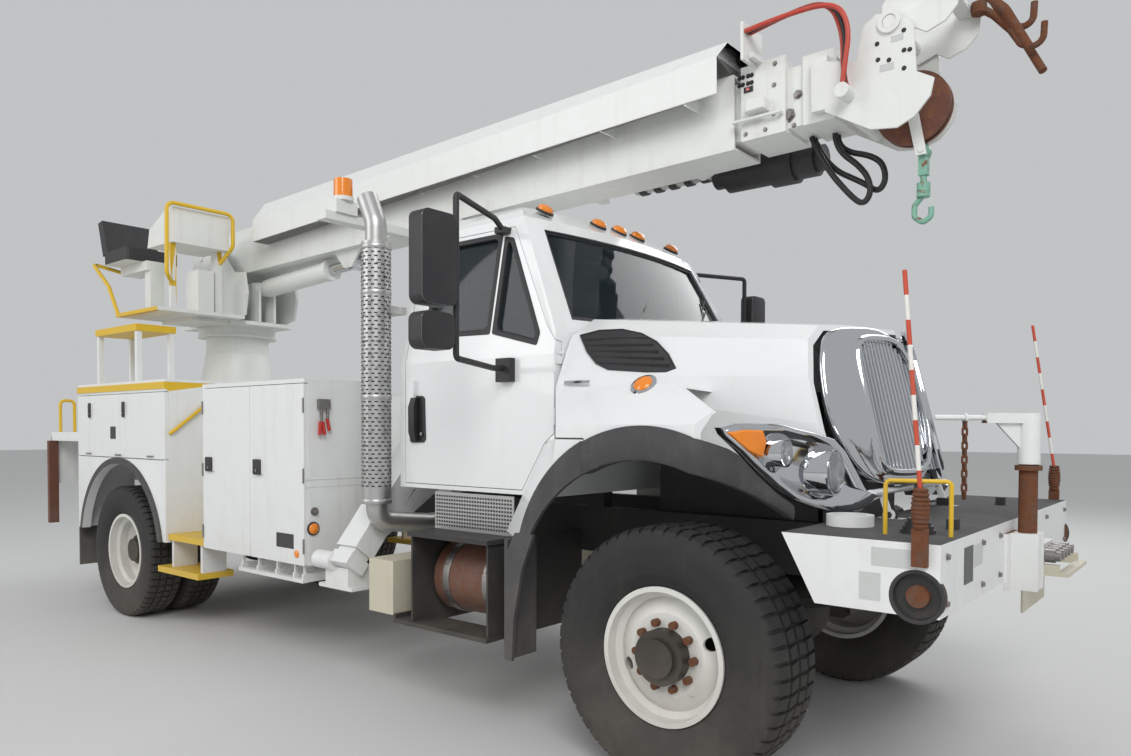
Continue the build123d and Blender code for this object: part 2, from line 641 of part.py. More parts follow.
# half width, height of each corner from the middle of the top to the lower edge
COWL_SECTION = [(0, 2128), (420, 2118), (700, 2085), (880, 1990), (972, 1790), (1000, 1725), (1000, HOOD_LOW)]
NOSE_SECTION = [(0, 2000), (330, 1992), (500, 1974), (575, 1905), (632, 1744), (650, 1532), (650, HOOD_LOW)]
NOSE_X = 560.0
LIP_SECTION = [(0, 1990), (330, 1980), (490, 1960), (550, 1890), (600, 1744), (615, 1532), (600, HOOD_LOW)]
LIP_X = 860.0


def inset_section(points, amount):
    """The same corners drawn in by an amount, reaching below the lower edge."""
    top = points[0][1]
    inner = []
    for y, z in points[:-1]:
        inner.append((max(y - amount, 0) if y else 0, z - amount))
    last_y = points[-1][0] - amount
    inner.append((last_y, HOOD_LOW - 60))
    return inner


def hood_loft(amount):
    cowl = COWL_SECTION if amount == 0 else inset_section(COWL_SECTION, amount)
    nose = NOSE_SECTION if amount == 0 else inset_section(NOSE_SECTION, amount)
    lip = LIP_SECTION if amount == 0 else inset_section(LIP_SECTION, amount)
    back = HOOD_REAR if amount == 0 else HOOD_REAR - 5
    return (loft([section_at(back, cowl), section_at(NOSE_X, nose)], ruled=True)
            + loft([section_at(NOSE_X, nose), section_at(LIP_X, lip)], ruled=True))


GRILLE_DEPTH = 36.0


def on_grille(y, z):
    """The point of the left grille face at a place across and a height."""
    lean = (GRILLE_TOP[0] - GRILLE_FOOT[0]) / (GRILLE_TOP[1] - GRILLE_FOOT[1])
    return (GRILLE_FOOT[0] + (z - GRILLE_FOOT[1]) * lean - GRILLE_SWEEP * y, y, z)


GRILLE_NORMAL = Vector(GRILLE_TOP[1] - GRILLE_FOOT[1], GRILLE_SWEEP * (GRILLE_TOP[1] - GRILLE_FOOT[1]),
                       GRILLE_FOOT[0] - GRILLE_TOP[0]).normalized()


def grille_prism(corners, low, high):
    """A prism of an outline on the left grille face, from low to high above it."""
    shift = GRILLE_NORMAL * low
    points = [Vector(*on_grille(y, z)) + shift for y, z in corners]
    return extrude(make_face(Polyline(*points, close=True)), high - low, dir=GRILLE_NORMAL)


def slope_block():
    """Everything in front of the seat of the two grille halves."""
    corners = [(-400, HOOD_LOW - 150), (1500, HOOD_LOW - 150), (1500, 2500), (-400, 2500)]
    half = grille_prism(corners, -GRILLE_DEPTH, 900)
    return half + left_of(half)


NOSE_ROOM_HALF = 662.0


def fender_right():
    """The right fender: a swelling over the wheel, cut by the round arch."""
    section = [(-640, HOOD_LOW - 260), (-640, 1700), (-985, 1722), (-FENDER_HALF + 70, 1600), (-FENDER_HALF, 1540),
               (-FENDER_HALF, HOOD_LOW - 260)]
    outline = [(HOOD_REAR, 1722), (-40, 1722), (300, 1560), (640, 1330), (690, HOOD_LOW), (520, HOOD_LOW),
               (520, HOOD_LOW - 30), (HOOD_REAR, 1000)]
    plan = [(HOOD_REAR, -1003), (-553, -FENDER_HALF), (700, -FENDER_HALF), (700, -600), (HOOD_REAR, -600)]
    swell = front_prism(section, HOOD_REAR, 700) & side_prism(outline, -FENDER_HALF, -600) & top_prism(plan, 900, 1800)
    under = front_prism([(-600, 900), (-600, 1700 - HOOD_WALL), (-975, 1722 - HOOD_WALL),
                         (-FENDER_HALF + 60, 1600 - HOOD_WALL), (-FENDER_HALF + HOOD_WALL, 1530 - HOOD_WALL),
                         (-FENDER_HALF + HOOD_WALL, 900)], HOOD_REAR + 3 * HOOD_WALL, 660)
    arch = rod_y(ARCH_X, ARCH_Z, ARCH_R, -FENDER_HALF - 20, -500)
    nose_room = grille_prism([(0, 1150), (NOSE_ROOM_HALF, 1150), (NOSE_ROOM_HALF, 1850), (0, 1850)], -GRILLE_DEPTH, 400)
    return swell - under - arch - left_of(nose_room)


# Where the fixed rear part of the fender, carried by the cab, meets the part on the hood
FIXED_ZONE = [(-1100, 300), (-1100, 1473), (-397, 1473), (-290, 1366), (-290, 300)]


def fixed_zone(gap, y0, y1):
    """The zone of the fixed fender parts, grown by a gap."""
    return side_cut(FIXED_ZONE, gap, y0, y1)


def make_hood():
    body = hood_loft(0) - slope_block()
    fender = fender_right()
    body = body + fender + left_of(fender)
    body = body - hood_loft(HOOD_WALL) - cab_solid(-HOOD_GAP)
    arch = rod_y(ARCH_X, ARCH_Z, ARCH_R, -FENDER_HALF - 20, FENDER_HALF + 20)
    body = body - arch
    window = grille_prism(window_outline(4), -400, 20)
    body = body - window - left_of(window)
    body = body - fixed_zone(HOOD_GAP, -FENDER_HALF - 5, FENDER_HALF + 5)
    x, z = HOOD_PIVOT
    tube = rod_y(x - 34, z + 100, 15, -858, 858)
    arm = side_prism([(x - 16, z), (x + 16, z), (x - 20, z + 104), (x - 48, z + 96)], 412, 424) + rod_y(x, z, 26, 412, 424)
    arm = arm - rod_y(x, z, HINGE_PIN_R + SEAT_GAP, 400, 440)
    return body + tube + arm + left_of(arm)


def fender_extension():
    """The fixed rear part of the right fender, which spreads from the cab's side out to the arch."""
    inner_edge = [(-1042, 993), (-778, 1455), (-730, 1473), (-397, 1473), (-290, 1366), (-290, 993)]
    outer_edge = [(-790, 993), (-575, 1330), (-553, 1473), (-397, 1473), (-290, 1366), (-290, 993)]
    skin = FENDER_SKIN
    inner_room = [(x + 1.4 * skin if n < 3 else x + 40, z - skin if z > 993 else z - 60) for n, (x, z) in enumerate(inner_edge)]
    outer_room = [(x + 1.4 * skin if n < 3 else x + 40, z - skin if z > 993 else z - 60) for n, (x, z) in enumerate(outer_edge)]
    body = loft([wall_outline(inner_edge, -999), wall_outline(outer_edge, -FENDER_HALF)], ruled=True)
    room = loft([wall_outline(inner_room, -985), wall_outline(outer_room, -FENDER_HALF + skin)], ruled=True)
    arch = rod_y(ARCH_X, ARCH_Z, ARCH_R, -FENDER_HALF - 20, -500)
    return body - room - arch


def wall_outline(points, y):
    """A face in X and Z that stands at a place across."""
    return Plane.XZ.offset(-y) * make_face(Polyline(*points, close=True))


# The outer edge of one half of the chrome surround and its window, as places across and heights
SURROUND = [(0, GRILLE_FOOT[1]), (470, GRILLE_FOOT[1]), (545, 1369), (632, 1532), (618, 1744), (560, 1900), (500, 1975), (0, GRILLE_TOP[1])]
WINDOW = [(25, 1345), (395, 1345), (375, 1890), (335, 1925), (25, 1925)]
WINDOW_OVERLAP = 6.0


def window_outline(grow):
    """The window of one half, grown on its outer sides."""
    low, high = WINDOW[0][1] - grow, WINDOW[4][1] + grow
    inner = WINDOW[0][0] - grow / 2
    return [(inner, low), (WINDOW[1][0] + grow, low), (WINDOW[2][0] + grow, WINDOW[2][1]), (WINDOW[3][0] + grow, high), (inner, high)]


def make_grille():
    """The chrome surround in two halves with upright bars that fan out, joined on the middle line."""
    back = -GRILLE_DEPTH + SEAT_GAP
    half = grille_prism(SURROUND, back, 0) - grille_prism(WINDOW, -60, 20)
    inner = window_outline(WINDOW_OVERLAP)
    low, high = inner[0][1], inner[4][1]
    window = grille_prism(inner, back, 0)
    for n in range(GRILLE_BARS):
        share = (n + 1) / (GRILLE_BARS + 1)
        foot = inner[0][0] + (inner[1][0] - inner[0][0]) * share
        top = inner[4][0] + (inner[3][0] - inner[4][0]) * share
        bar = [(foot - BAR_WIDTH / 2, low), (foot + BAR_WIDTH / 2, low), (top + BAR_WIDTH / 2, high), (top - BAR_WIDTH / 2, high)]
        half += grille_prism(bar, back, back + BAR_DEPTH) & window
    return half + left_of(half)


# Headlight pods: a chrome bezel with a round lamp and a round turn lamp
def make_headlight_right():
    bezel_outline = [(250, 1520), (420, 1560), (610, 1440), (790, 1250), (760, 1224), (560, 1224), (380, 1330)]
    shell = side_prism(bezel_outline, -1150, -880)
    cheek = top_prism([(200, -1190), (520, -1130), (800, -905), (820, -860), (200, -860)], 1200, 1580)
    pod = shell & cheek
    lamp = Pos(640, -985, 1345) * Rot(0, 90, -35) * Cylinder(88, 150)
    turn = Pos(500, -1080, 1420) * Rot(0, 90, -48) * Cylinder(52, 120)
    return pod + lamp + turn


def flare_ring():
    """The black rubber lip over the right arch, widest at the top."""
    outer = rod_y(*FLARE_OUTER, FLARE_OUTER_R, -FENDER_HALF - 22, -FENDER_HALF - SEAT_GAP)
    ring = outer - rod_y(ARCH_X, ARCH_Z, FLARE_INNER_R, -FENDER_HALF - 30, -FENDER_HALF + 5)
    ring -= block(ARCH_X - 1000, ARCH_X + 1000, -1300, -1100, -300, 1022)
    return ring - block(560, 1000, -1300, -1100, 900, 1700)


def make_flare_right():
    return flare_ring() - fixed_zone(3.0, -1300, -1100)


def make_fender_tail():
    """The fixed rear part of the lip, and the upright guard behind the wheel."""
    rear = flare_ring() & fixed_zone(0.0, -1300, -1100)
    side = [(-790, 1024), (-672, 1024), (-745, 850), (-796, 607), (-806, TAIL_BOTTOM), (TAIL_X, TAIL_BOTTOM), (TAIL_X, 900)]
    strip = side_prism(side, -FENDER_HALF - 22, -FENDER_HALF - 4)
    flap = side_prism([(TAIL_X, 990), (TAIL_X + 20, 990), (TAIL_X + 20, TAIL_BOTTOM), (TAIL_X, TAIL_BOTTOM)],
                      -FENDER_HALF - 22, -1000)
    return rear + strip + flap


# Front bumper: a hollow box with sloping cheeks and an anti-slip deck
def make_front_bumper():
    outline = [(560, BUMPER_TOP), (BUMPER_FRONT, BUMPER_TOP), (BUMPER_FRONT, BUMPER_BOTTOM), (692, BUMPER_BOTTOM)]
    inner = [(580, BUMPER_TOP - BUMPER_WALL), (BUMPER_FRONT - BUMPER_WALL, BUMPER_TOP - BUMPER_WALL),
             (BUMPER_FRONT - BUMPER_WALL, BUMPER_BOTTOM - 50), (720, BUMPER_BOTTOM - 50)]
    box = side_prism(outline, -BUMPER_HALF, BUMPER_HALF)
    hollow = side_prism(inner, -BUMPER_HALF + BUMPER_WALL, BUMPER_HALF - BUMPER_WALL)
    notch = block(400, 640, -554, 554, BUMPER_BOTTOM - 60, BUMPER_TOP + 5)
    notch += block(400, RAIL_FRONT + 20, -FRAME_HALF - 16, FRAME_HALF + 16, BUMPER_BOTTOM - 60, BUMPER_TOP - BUMPER_WALL)
    notch += block(640, 765, -450, -380, BUMPER_TOP - 20, BUMPER_TOP + 5) + block(640, 765, 380, 450, BUMPER_TOP - 20, BUMPER_TOP + 5)
    lamp_hole = rod_y(1052, 954, 90, -BUMPER_HALF - 10, -BUMPER_HALF + 40)
    box = box - hollow - notch - lamp_hole - left_of(lamp_hole)
    shelf = Part()
    for side in (-1, 1):
        inner = side * (FRAME_HALF + SEAT_GAP)
        shelf += block(580, BUMPER_FRONT - BUMPER_WALL, inner, inner + side * 12, BUMPER_BOTTOM, BUMPER_TOP - BUMPER_WALL)
        shelf += block(640, BUMPER_FRONT - BUMPER_WALL, inner, inner + side * 12, BUMPER_TOP - 40, BUMPER_TOP - 1)
    return box + shelf


GUARD_Z = 1335.0


def make_bumper_gear():
    """What stands on the bumper: guard hoop, lever with its boot, tow ring, lamps and couplers."""
    top = BUMPER_TOP
    hoop = pipe([(881, -1006, top), (881, -1006, GUARD_Z), (1091, -938, GUARD_Z), (1091, -938, top)], 18, 16)
    boot = Part()
    for n, radius in enumerate((62, 54, 46, 38)):
        boot += rod_z(964, -895, radius, top + 14 * n, top + 14 * n + 14)
    lever = rod_z(964, -895, 8, top, top + 170) + rod_z(964, -895, 16, top + 110, top + 190)
    ring = Pos(607 + 70, -813, top + 22) * (Cylinder(92, 44) - Cylinder(62, 60))
    lugs = block(1010, 1050, -700, -660, top, top + 40) + block(900, 940, 600, 640, top, top + 40)
    rods = []
    for side, lean_x, top_z in ((-1, -62.0, 2060.0), (1, -120.0, 2113.0)):
        y = side * (BUMPER_HALF + 14)
        bracket = block(1040, 1090, y - 13.7, y + 13.7, 1060, 1190)
        spring = Part()
        for n in range(7):
            swell = 22 + 6 * sin(radians(180 * n / 6))
            spring += rod_z(1065, y, swell, 1190 + 18 * n, 1190 + 18 * n + 15) + rod_z(1065, y, 16, 1190 + 18 * n, 1208 + 18 * n)
        start = Vector(1065, y, 1300)
        end = Vector(1065 + lean_x, y, top_z)
        stick_line = Line(start, end)
        stick = sweep(Plane(start, z_dir=end - start) * Circle(7), path=stick_line)
        rods.append(bracket + spring + stick)
    lamps = []
    for side in (-1, 1):
        lamp = rod_y(1052, 954, 38, side * (BUMPER_HALF - 6), side * (BUMPER_HALF - 30))
        plate = rod_y(1052, 954, 89.7, side * (BUMPER_HALF - 30), side * (BUMPER_HALF - 36))
        lamps.append(lamp + plate)
    return group(hoop, boot + lever, ring, lugs, *rods, *lamps)


def make_tool_post():
    """The bracket on the bumper's face with the rusty post, and the tool couplers beside it."""
    face = BUMPER_FRONT + SEAT_GAP
    bracket = block(face, face + 14, POST_Y - 130, POST_Y + 60, 850, 1090)
    cheek = block(face, POST_X + 52, POST_Y - 62, POST_Y - 48, 850, 1088) + block(face, POST_X + 52, POST_Y + 48, POST_Y + 62, 850, 1088)
    socket = rod_z(POST_X, POST_Y, POST_R + 14, 850, 1088)
    socket += block(face, POST_X, POST_Y - 46, POST_Y + 46, 850, 880) + block(face, POST_X, POST_Y - 46, POST_Y + 46, 1040, 1080)
    post = rod_z(POST_X, POST_Y, POST_R, 850, POST_SLEEVE_FOOT + 120)
    collar = rod_z(POST_X, POST_Y, POST_R + 16, POST_SLEEVE_FOOT - 26, POST_SLEEVE_FOOT - 5)
    couplers = Part()
    manifold = block(face, face + 60, 40, 460, 930, 1000)
    for y in (90.0, 170.0, 250.0, 330.0, 410.0):
        couplers += rod_x(y, 965, 22, face + 50, face + 150) + rod_x(y, 965, 30, face + 90, face + 130)
    plate_points = [(face, 700), (face + 8, 700), (face + 8, 930), (face, 930)]
    plate = side_prism(plate_points, 60, 560)
    nose = block(face + 140, FRONT_REACH, 60, 560, 880, 896) + block(face, face + 150, 60, 76, 880, 930) + block(face, face + 150, 544, 560, 880, 930)
    return group(bracket + cheek + socket + post + collar, manifold + couplers + plate + nose)


def make_swing_arm():
    """The sleeve that turns on the post, its arm with a gusset, and the chain that hangs from it."""
    sleeve = rod_z(POST_X, POST_Y, POST_SLEEVE_R, POST_SLEEVE_FOOT, POST_TOP) - rod_z(POST_X, POST_Y, POST_R + 0.5, POST_SLEEVE_FOOT - 5, POST_TOP - 8)
    arm = block(POST_X - 200, POST_X, POST_Y - 22, POST_Y + 22, POST_TOP - 42, POST_TOP)
    tip = rod_x(POST_Y, POST_TOP - 20, 11, POST_X - ARM_REACH, POST_X - 195)
    gusset_x = POST_X - POST_SLEEVE_R + 3
    gusset = side_prism([(POST_X - 150, POST_TOP - 40), (gusset_x, POST_TOP - 40), (gusset_x, POST_TOP - 150)],
                        POST_Y - 6, POST_Y + 6)
    links = []
    ring = rod_x(0, 0, 20, -4, 4) - rod_x(0, 0, 13, -6, 6)
    links.append(Pos(CHAIN_X, POST_Y, POST_TOP - 22) * ring)
    for n in range(11):
        turn = 0 if n % 2 else 90
        place = Pos(CHAIN_X, POST_Y, POST_TOP - 49.5 - CHAIN_PITCH * n)
        links.append(place * Rot(0, 0, turn) * Rot(90, 0, 0) * chain_link(44, 26, 7))
    on_post = Pos(POST_X, POST_Y, 0) * Rot(0, 0, ARM_TURN) * Pos(-POST_X, -POST_Y, 0)
    return group(on_post * (sleeve + arm + tip + gusset), *[on_post * link for link in links])


def chain_link(length, width, wire):
    """One oval link in the XY plane of its own frame, long in Y."""
    straight = length / 2 - width / 2
    ring = Cylinder(width / 2, wire) + Box(width, 2 * straight, wire)
    outer = Pos(0, straight, 0) * Cylinder(width / 2, wire) + Pos(0, -straight, 0) * Cylinder(width / 2, wire) + Box(width, 2 * straight, wire)
    inner_r = width / 2 - wire
    inner = Pos(0, straight, 0) * Cylinder(inner_r, wire * 2) + Pos(0, -straight, 0) * Cylinder(inner_r, wire * 2) + Box(2 * inner_r, 2 * straight, wire * 2)
    return outer - inner


# Cab steps, shield, battery box, tanks and exhaust
def make_cab_steps():
    """Right: two treads on hangers, heat shield and battery box. The left side has the same."""
    upper = block(-1590, -985, -1200, -960, 943, 967)
    lower = block(-1709, -991, -1200, -1000, 456, 480)
    hanger_front = block(-1010, -998, -1180, -FRAME_HALF - SEAT_GAP, 456, 960)
    hanger_rear = block(-1580, -1568, -1180, -FRAME_HALF - SEAT_GAP, 456, 960)
    shield = block(-1600, -1000, -990, -982, 960, 1172)
    battery = block(-1930, -1720, -1190, -700, 493, 790)
    bearer = block(-1830, -1780, -720, -FRAME_HALF - SEAT_GAP, 760, 850)
    lower_arm = block(-1720, -1700, -1190, -1010, 456, 500)
    right = upper + lower + hanger_front + hanger_rear + shield
    box_part = battery + bearer + lower_arm
    return both_sides(group(right + box_part, make_fender_tail()))


def make_side_tanks():
    """A round air drum on each side between the step hangers, held by two straps."""
    drum = rod_x(-860, 705, 195, -1560, -1018)
    drum = chamfer(drum.edges().filter_by(GeomType.CIRCLE), 24)
    for x in (-1440.0, -1140.0):
        drum += rod_x(-860, 705, 199, x - 20, x + 20)
        drum += block(x - 20, x + 20, -700, -FRAME_HALF - SEAT_GAP, 850, 880)
        drum += block(x - 20, x + 20, -800, -690, 830, 880)
    return both_sides(drum)


STACK_X = -2004.0
STACK_Y = -1080.0
STACK_R = 84.0


def make_exhaust_stack():
    """The upright stack with its slotted shield, curved tip and the pipe from below."""
    shield = rod_z(STACK_X, STACK_Y, STACK_R, 1085, 2590)
    slots = Part()
    for row in range(18):
        z = 1200 + row * 74
        for n in range(6):
            angle = 60 * n + (30 if row % 2 else 0)
            slot = Pos(STACK_X, STACK_Y, z) * Rot(0, 0, angle) * Pos(STACK_R, 0, 0) * Box(16, 30, 14)
            slots += slot
    shield = shield - slots
    tip = pipe([(STACK_X, STACK_Y, 2580), (STACK_X, STACK_Y, 2700), (STACK_X - 80, STACK_Y, 2860)], 90, 122)
    lower = pipe([(STACK_X, STACK_Y, 1090), (STACK_X, STACK_Y, 985), (STACK_X, -700, 940), (STACK_X, -FRAME_HALF - 20, 940)], 90, 120)
    clamp = block(STACK_X - 60, CAB_BACK - SEAT_GAP, STACK_Y + 20, STACK_Y + 130, 2180, 2220)
    foot = block(STACK_X - 70, STACK_X + 70, -FRAME_HALF - 60, -FRAME_HALF - SEAT_GAP, 880, 1000)
    return shield + tip + lower + clamp + foot


# Cabinets: two tall ones ahead of the steps and two boxes over the rear wheels
def make_front_cabinets():
    outer_y = -BODY_HALF + PANEL_THICK + 1
    inner_y = -BODY_HALF + CABINET_DEPTH
    body = block(CABINET_REAR, CABINET_FRONT, outer_y, inner_y, CABINET_BOTTOM, CABINET_TOP)
    middle = (CABINET_FRONT + CABINET_REAR) / 2
    for x0, x1 in ((CABINET_REAR + SHEET_WALL, middle - SHEET_WALL / 2), (middle + SHEET_WALL / 2, CABINET_FRONT - SHEET_WALL)):
        body -= block(x0, x1, outer_y - 10, inner_y - SHEET_WALL, CABINET_BOTTOM + SHEET_WALL, CABINET_TOP - SHEET_WALL)
        body += block(x0 - 1, x1 + 1, outer_y + 40, inner_y - 5, 1240, 1252)
    rim_top = block(CABINET_REAR, CABINET_FRONT, -BODY_HALF, outer_y + 1, CABINET_TOP - 26, CABINET_TOP)
    body += rim_top
    rack = block(-3325, -2574, -BODY_HALF + 20, -BODY_HALF + 60, 566, 590) + block(-3325, -2574, -BODY_HALF + 300, -BODY_HALF + 340, 566, 590)
    for x in (-3315.0, -3120.0, -2900.0, -2700.0, -2600.0):
        rack += block(x, x + 16, -BODY_HALF + 30, -BODY_HALF + 330, 566, 620)
        rack += block(x, x + 16, -BODY_HALF + 40, -BODY_HALF + 56, 600, CABINET_BOTTOM + 1)
    return both_sides(body + rack)


def tall_door(front):
    """One tall cabinet door; front is its front edge, where it hinges."""
    middle = (CABINET_FRONT + CABINET_REAR) / 2
    if front:
        x0, x1 = middle + DOOR_GAP / 2, CABINET_FRONT - DOOR_GAP
    else:
        x0, x1 = CABINET_REAR + DOOR_GAP, middle - DOOR_GAP / 2
    z0, z1 = CABINET_BOTTOM + DOOR_GAP, CABINET_TOP - 26 - DOOR_GAP
    door = block(x0, x1, -BODY_HALF, -BODY_HALF + PANEL_THICK + 1 - SEAT_GAP, z0, z1)
    door = fillet(door.edges().filter_by(Axis.Y), 8)
    latch = block(x0 + 60, x0 + 150, -BODY_HALF - 10, -BODY_HALF + 1, 1225, 1315)
    return door + latch


def make_rear_cabinets():
    outer_y = -BODY_HALF + PANEL_THICK + 1
    inner_y = -BODY_HALF + CABINET_DEPTH
    upper = block(BOX_REAR, BOX_FRONT, outer_y, inner_y, BOX_DOOR_BOTTOM - 10, BOX_TOP)
    upper -= block(BOX_REAR + SHEET_WALL, BOX_FRONT - SHEET_WALL, outer_y - 10, inner_y - SHEET_WALL,
                   BOX_DOOR_BOTTOM + 14, BOX_TOP - SHEET_WALL)
    skirt = block(BOX_REAR, BOX_FRONT, -BODY_HALF, outer_y + 20, BODY_BOTTOM, BOX_DOOR_BOTTOM - 4)
    skirt += block(BOX_REAR, BOX_REAR + SHEET_WALL, -BODY_HALF, inner_y, BODY_BOTTOM, BOX_DOOR_BOTTOM)
    skirt += block(BOX_FRONT - SHEET_WALL, BOX_FRONT, -BODY_HALF, inner_y, BODY_BOTTOM, BOX_DOOR_BOTTOM)
    rim_top = block(BOX_REAR, BOX_FRONT, -BODY_HALF - 6, inner_y, BOX_TOP, BOX_TOP + 52)
    rim_top += block(BOX_REAR, BOX_FRONT, -BODY_HALF, outer_y + 1, BOX_TOP - 20, BOX_TOP + 1)
    arch = rod_y(-WHEELBASE, REAR_AXLE_Z, WHEEL_ARCH_R, -BODY_HALF - 20, -700)
    flare = rod_y(-WHEELBASE, REAR_AXLE_Z, WHEEL_ARCH_R + 50, -BODY_HALF - 20, -BODY_HALF)
    flare = flare & block(-6400, -4000, -1400, -1000, BODY_BOTTOM, 1300)
    return both_sides(upper + skirt + rim_top + flare - arch)


def make_box_door_right():
    x0, x1 = BOX_REAR + DOOR_GAP, BOX_FRONT - DOOR_GAP
    door = block(x0, x1, -BODY_HALF, -BODY_HALF + PANEL_THICK + 1 - SEAT_GAP, BOX_DOOR_BOTTOM + DOOR_GAP, BOX_TOP - 20 - DOOR_GAP)
    door = fillet(door.edges().filter_by(Axis.Y), 8)
    for x in (-5650.0, -5000.0):
        door += block(x - 20, x + 20, -BODY_HALF - 12, -BODY_HALF + 1, 1600, 1730)
    return door


def make_bed():
    """Deck, step recess with its treads, tail shelf, hoops and mud flaps."""
    inner_y = BODY_HALF - CABINET_DEPTH
    deck = block(RAIL_REAR, CABINET_FRONT, -inner_y + SEAT_GAP, inner_y - SEAT_GAP, BED_Z, BED_Z + BED_THICK)
    for x in (-2650.0, -3500.0, -4300.0, -5000.0, -5900.0):
        deck += block(x - 40, x + 40, -inner_y + 2, inner_y - 2, FRAME_TOP, BED_Z + 2)
    recess = block(BOX_FRONT + SEAT_GAP, CABINET_REAR - SEAT_GAP, -inner_y - 30, -inner_y + SEAT_GAP + 1, 640, BOX_TOP)
    steps = Part()
    for z0, x0, x1, y0, y1 in ((685, BOX_FRONT + 1, CABINET_REAR - 1, -1200, -inner_y - 25),
                               (438, -4456, -3843, -BODY_HALF, -950),
                               (1010, -3980, CABINET_REAR - 1, -1060, -inner_y - 25)):
        steps += block(x0, x1, y0, y1, z0, z0 + 44)
    hangers = block(-4310, -4282, -1180, -1000, 460, 700) + block(-3880, -3850, -1180, -1000, 460, 700)
    side = recess + steps + hangers
    tail = block(TAIL_REAR, BOX_REAR - SEAT_GAP, -BODY_HALF + 60, BODY_HALF - 60, 1400, 1479)
    tail += block(TAIL_REAR, TAIL_REAR + 14, -BODY_HALF + 60, BODY_HALF - 60, 1000, 1479)
    for y in (-700.0, 700.0):
        tail += block(TAIL_REAR, RAIL_REAR + 300, y - 10, y + 10, BED_Z + 2, 1479)
    lamps = block(TAIL_REAR - 20, TAIL_REAR + 2, -1100, -940, 1060, 1160) + block(TAIL_REAR - 20, TAIL_REAR + 2, 940, 1100, 1060, 1160)
    whole = deck + side + left_of(side) + tail + lamps
    return whole


def make_tail_gear():
    """Yellow hoops and rear step, red-brown pads, mud flaps and the rear tow eye."""
    hoops = []
    for side in (-1, 1):
        y = side * 1060
        hoop = pipe([(-6600, y - 60, 1479), (-6600, y - 60, 1770), (-6600, y + 60, 1770), (-6600, y + 60, 1479)], 40, 28)
        hoops.append(hoop)
    step = block(-REAR_REACH, TAIL_REAR + 300, -500, 500, 540, 570)
    hitch_back = RAIL_REAR - 16 - SEAT_GAP
    for y in (-390.0, 390.0):
        step += block(hitch_back - 16, hitch_back, y - 40, y + 40, 555, FRAME_TOP - 40)
    pad_plate = block(TAIL_REAR + 14 + SEAT_GAP, TAIL_REAR + 60, -BODY_HALF + 20, -BODY_HALF + 100, 640, 1400 - SEAT_GAP)
    flap = block(BOX_REAR - 24, BOX_REAR - 8, -BODY_HALF + 10, -620, 330, BODY_BOTTOM + 120)
    bar = block(BOX_REAR - 24, BOX_REAR - SEAT_GAP, -BODY_HALF + 10, -620, BODY_BOTTOM + 60, BODY_BOTTOM + 125)
    eye = rod_y(hitch_back - 80, 820, 70, -20, 20) - rod_y(hitch_back - 80, 820, 38, -30, 30)
    eye += block(hitch_back - 26, hitch_back, -60, 60, 760, 880)
    return group(*hoops, step, pad_plate, left_of(pad_plate), flap + bar, left_of(flap + bar), eye)


# Lid of the right rear box: yellow edge and a step frame on four legs
def make_step_frame():
    z = BOX_TOP + 52 + SEAT_GAP
    lid = block(BOX_REAR, BOX_FRONT, -BODY_HALF + 4, -BODY_HALF + CABINET_DEPTH - 4, z, z + 20)
    frame = Part()
    for x in (-5700.0, -4980.0):
        for y in (-1120.0, -860.0):
            frame += block(x - 20, x + 20, y - 20, y + 20, z + 18, 2300)
    frame += block(-5730, -4950, -1150, -830, 2296, 2350)
    return group(lid + frame)


# Pedestal, turret and operator station
def make_pedestal():
    base = block(PEDESTAL_X - 460, PEDESTAL_X + 460, -420, 420, BED_Z + BED_THICK, 1500)
    skirt = Pos(PEDESTAL_X, 0, 1500) * extrude_taper(390, 280, 700)
    column = rod_z(PEDESTAL_X, 0, 275, 2190, PEDESTAL_TOP)
    flange = rod_z(PEDESTAL_X, 0, RING_R, PEDESTAL_TOP - 26, PEDESTAL_TOP)
    return base + skirt + column + flange


def extrude_taper(low_r, top_r, height):
    """A cone frustum that stands on the origin."""
    return Pos(0, 0, height / 2) * Cone(low_r, top_r, height)


CHEEK_OUTLINE = [
    (-5900, TURRET_PLATE_TOP - 2), (-5130, TURRET_PLATE_TOP - 2), (-4900, TURRET_PLATE_TOP + 40), (-4860, 2700), (-4900, 2880),
    (-5080, 2900), (-5260, 3080), (-5480, 3230), (-5720, 3250), (-5800, 3140), (-5800, 2800),
]


def make_turret():
    ring = rod_z(PEDESTAL_X, 0, RING_R - 8, PEDESTAL_TOP + SEAT_GAP, RING_TOP)
    plate = top_prism([(-5920, -300), (-5040, -300), (-4960, -200), (-4960, 200), (-5040, 300), (-5920, 300)],
                      RING_TOP - 2, TURRET_PLATE_TOP)
    cheek = side_prism(CHEEK_OUTLINE, -CHEEK_Y - CHEEK_THICK, -CHEEK_Y)
    cheek -= rod_y(BOOM_PIVOT_X, BOOM_PIVOT_Z, BOOM_PIN_R + 0.4, -CHEEK_Y - 40, -CHEEK_Y + 20)
    back = block(-5800, -5780, -CHEEK_Y - 2, CHEEK_Y + 2, TURRET_PLATE_TOP - 2, 2780)
    lug = side_prism([(CYLINDER_PIN_X - 90, TURRET_PLATE_TOP - 2), (CYLINDER_PIN_X + 60, TURRET_PLATE_TOP - 2),
                      (CYLINDER_PIN_X + 60, CYLINDER_PIN_Z + 40), (CYLINDER_PIN_X - 50, CYLINDER_PIN_Z + 60)], -84, -62)
    lug -= rod_y(CYLINDER_PIN_X, CYLINDER_PIN_Z, 30.4, -100, -50)
    return ring + plate + cheek + left_of(cheek) + back + lug + left_of(lug)


STATION_FLOOR = 2500.0


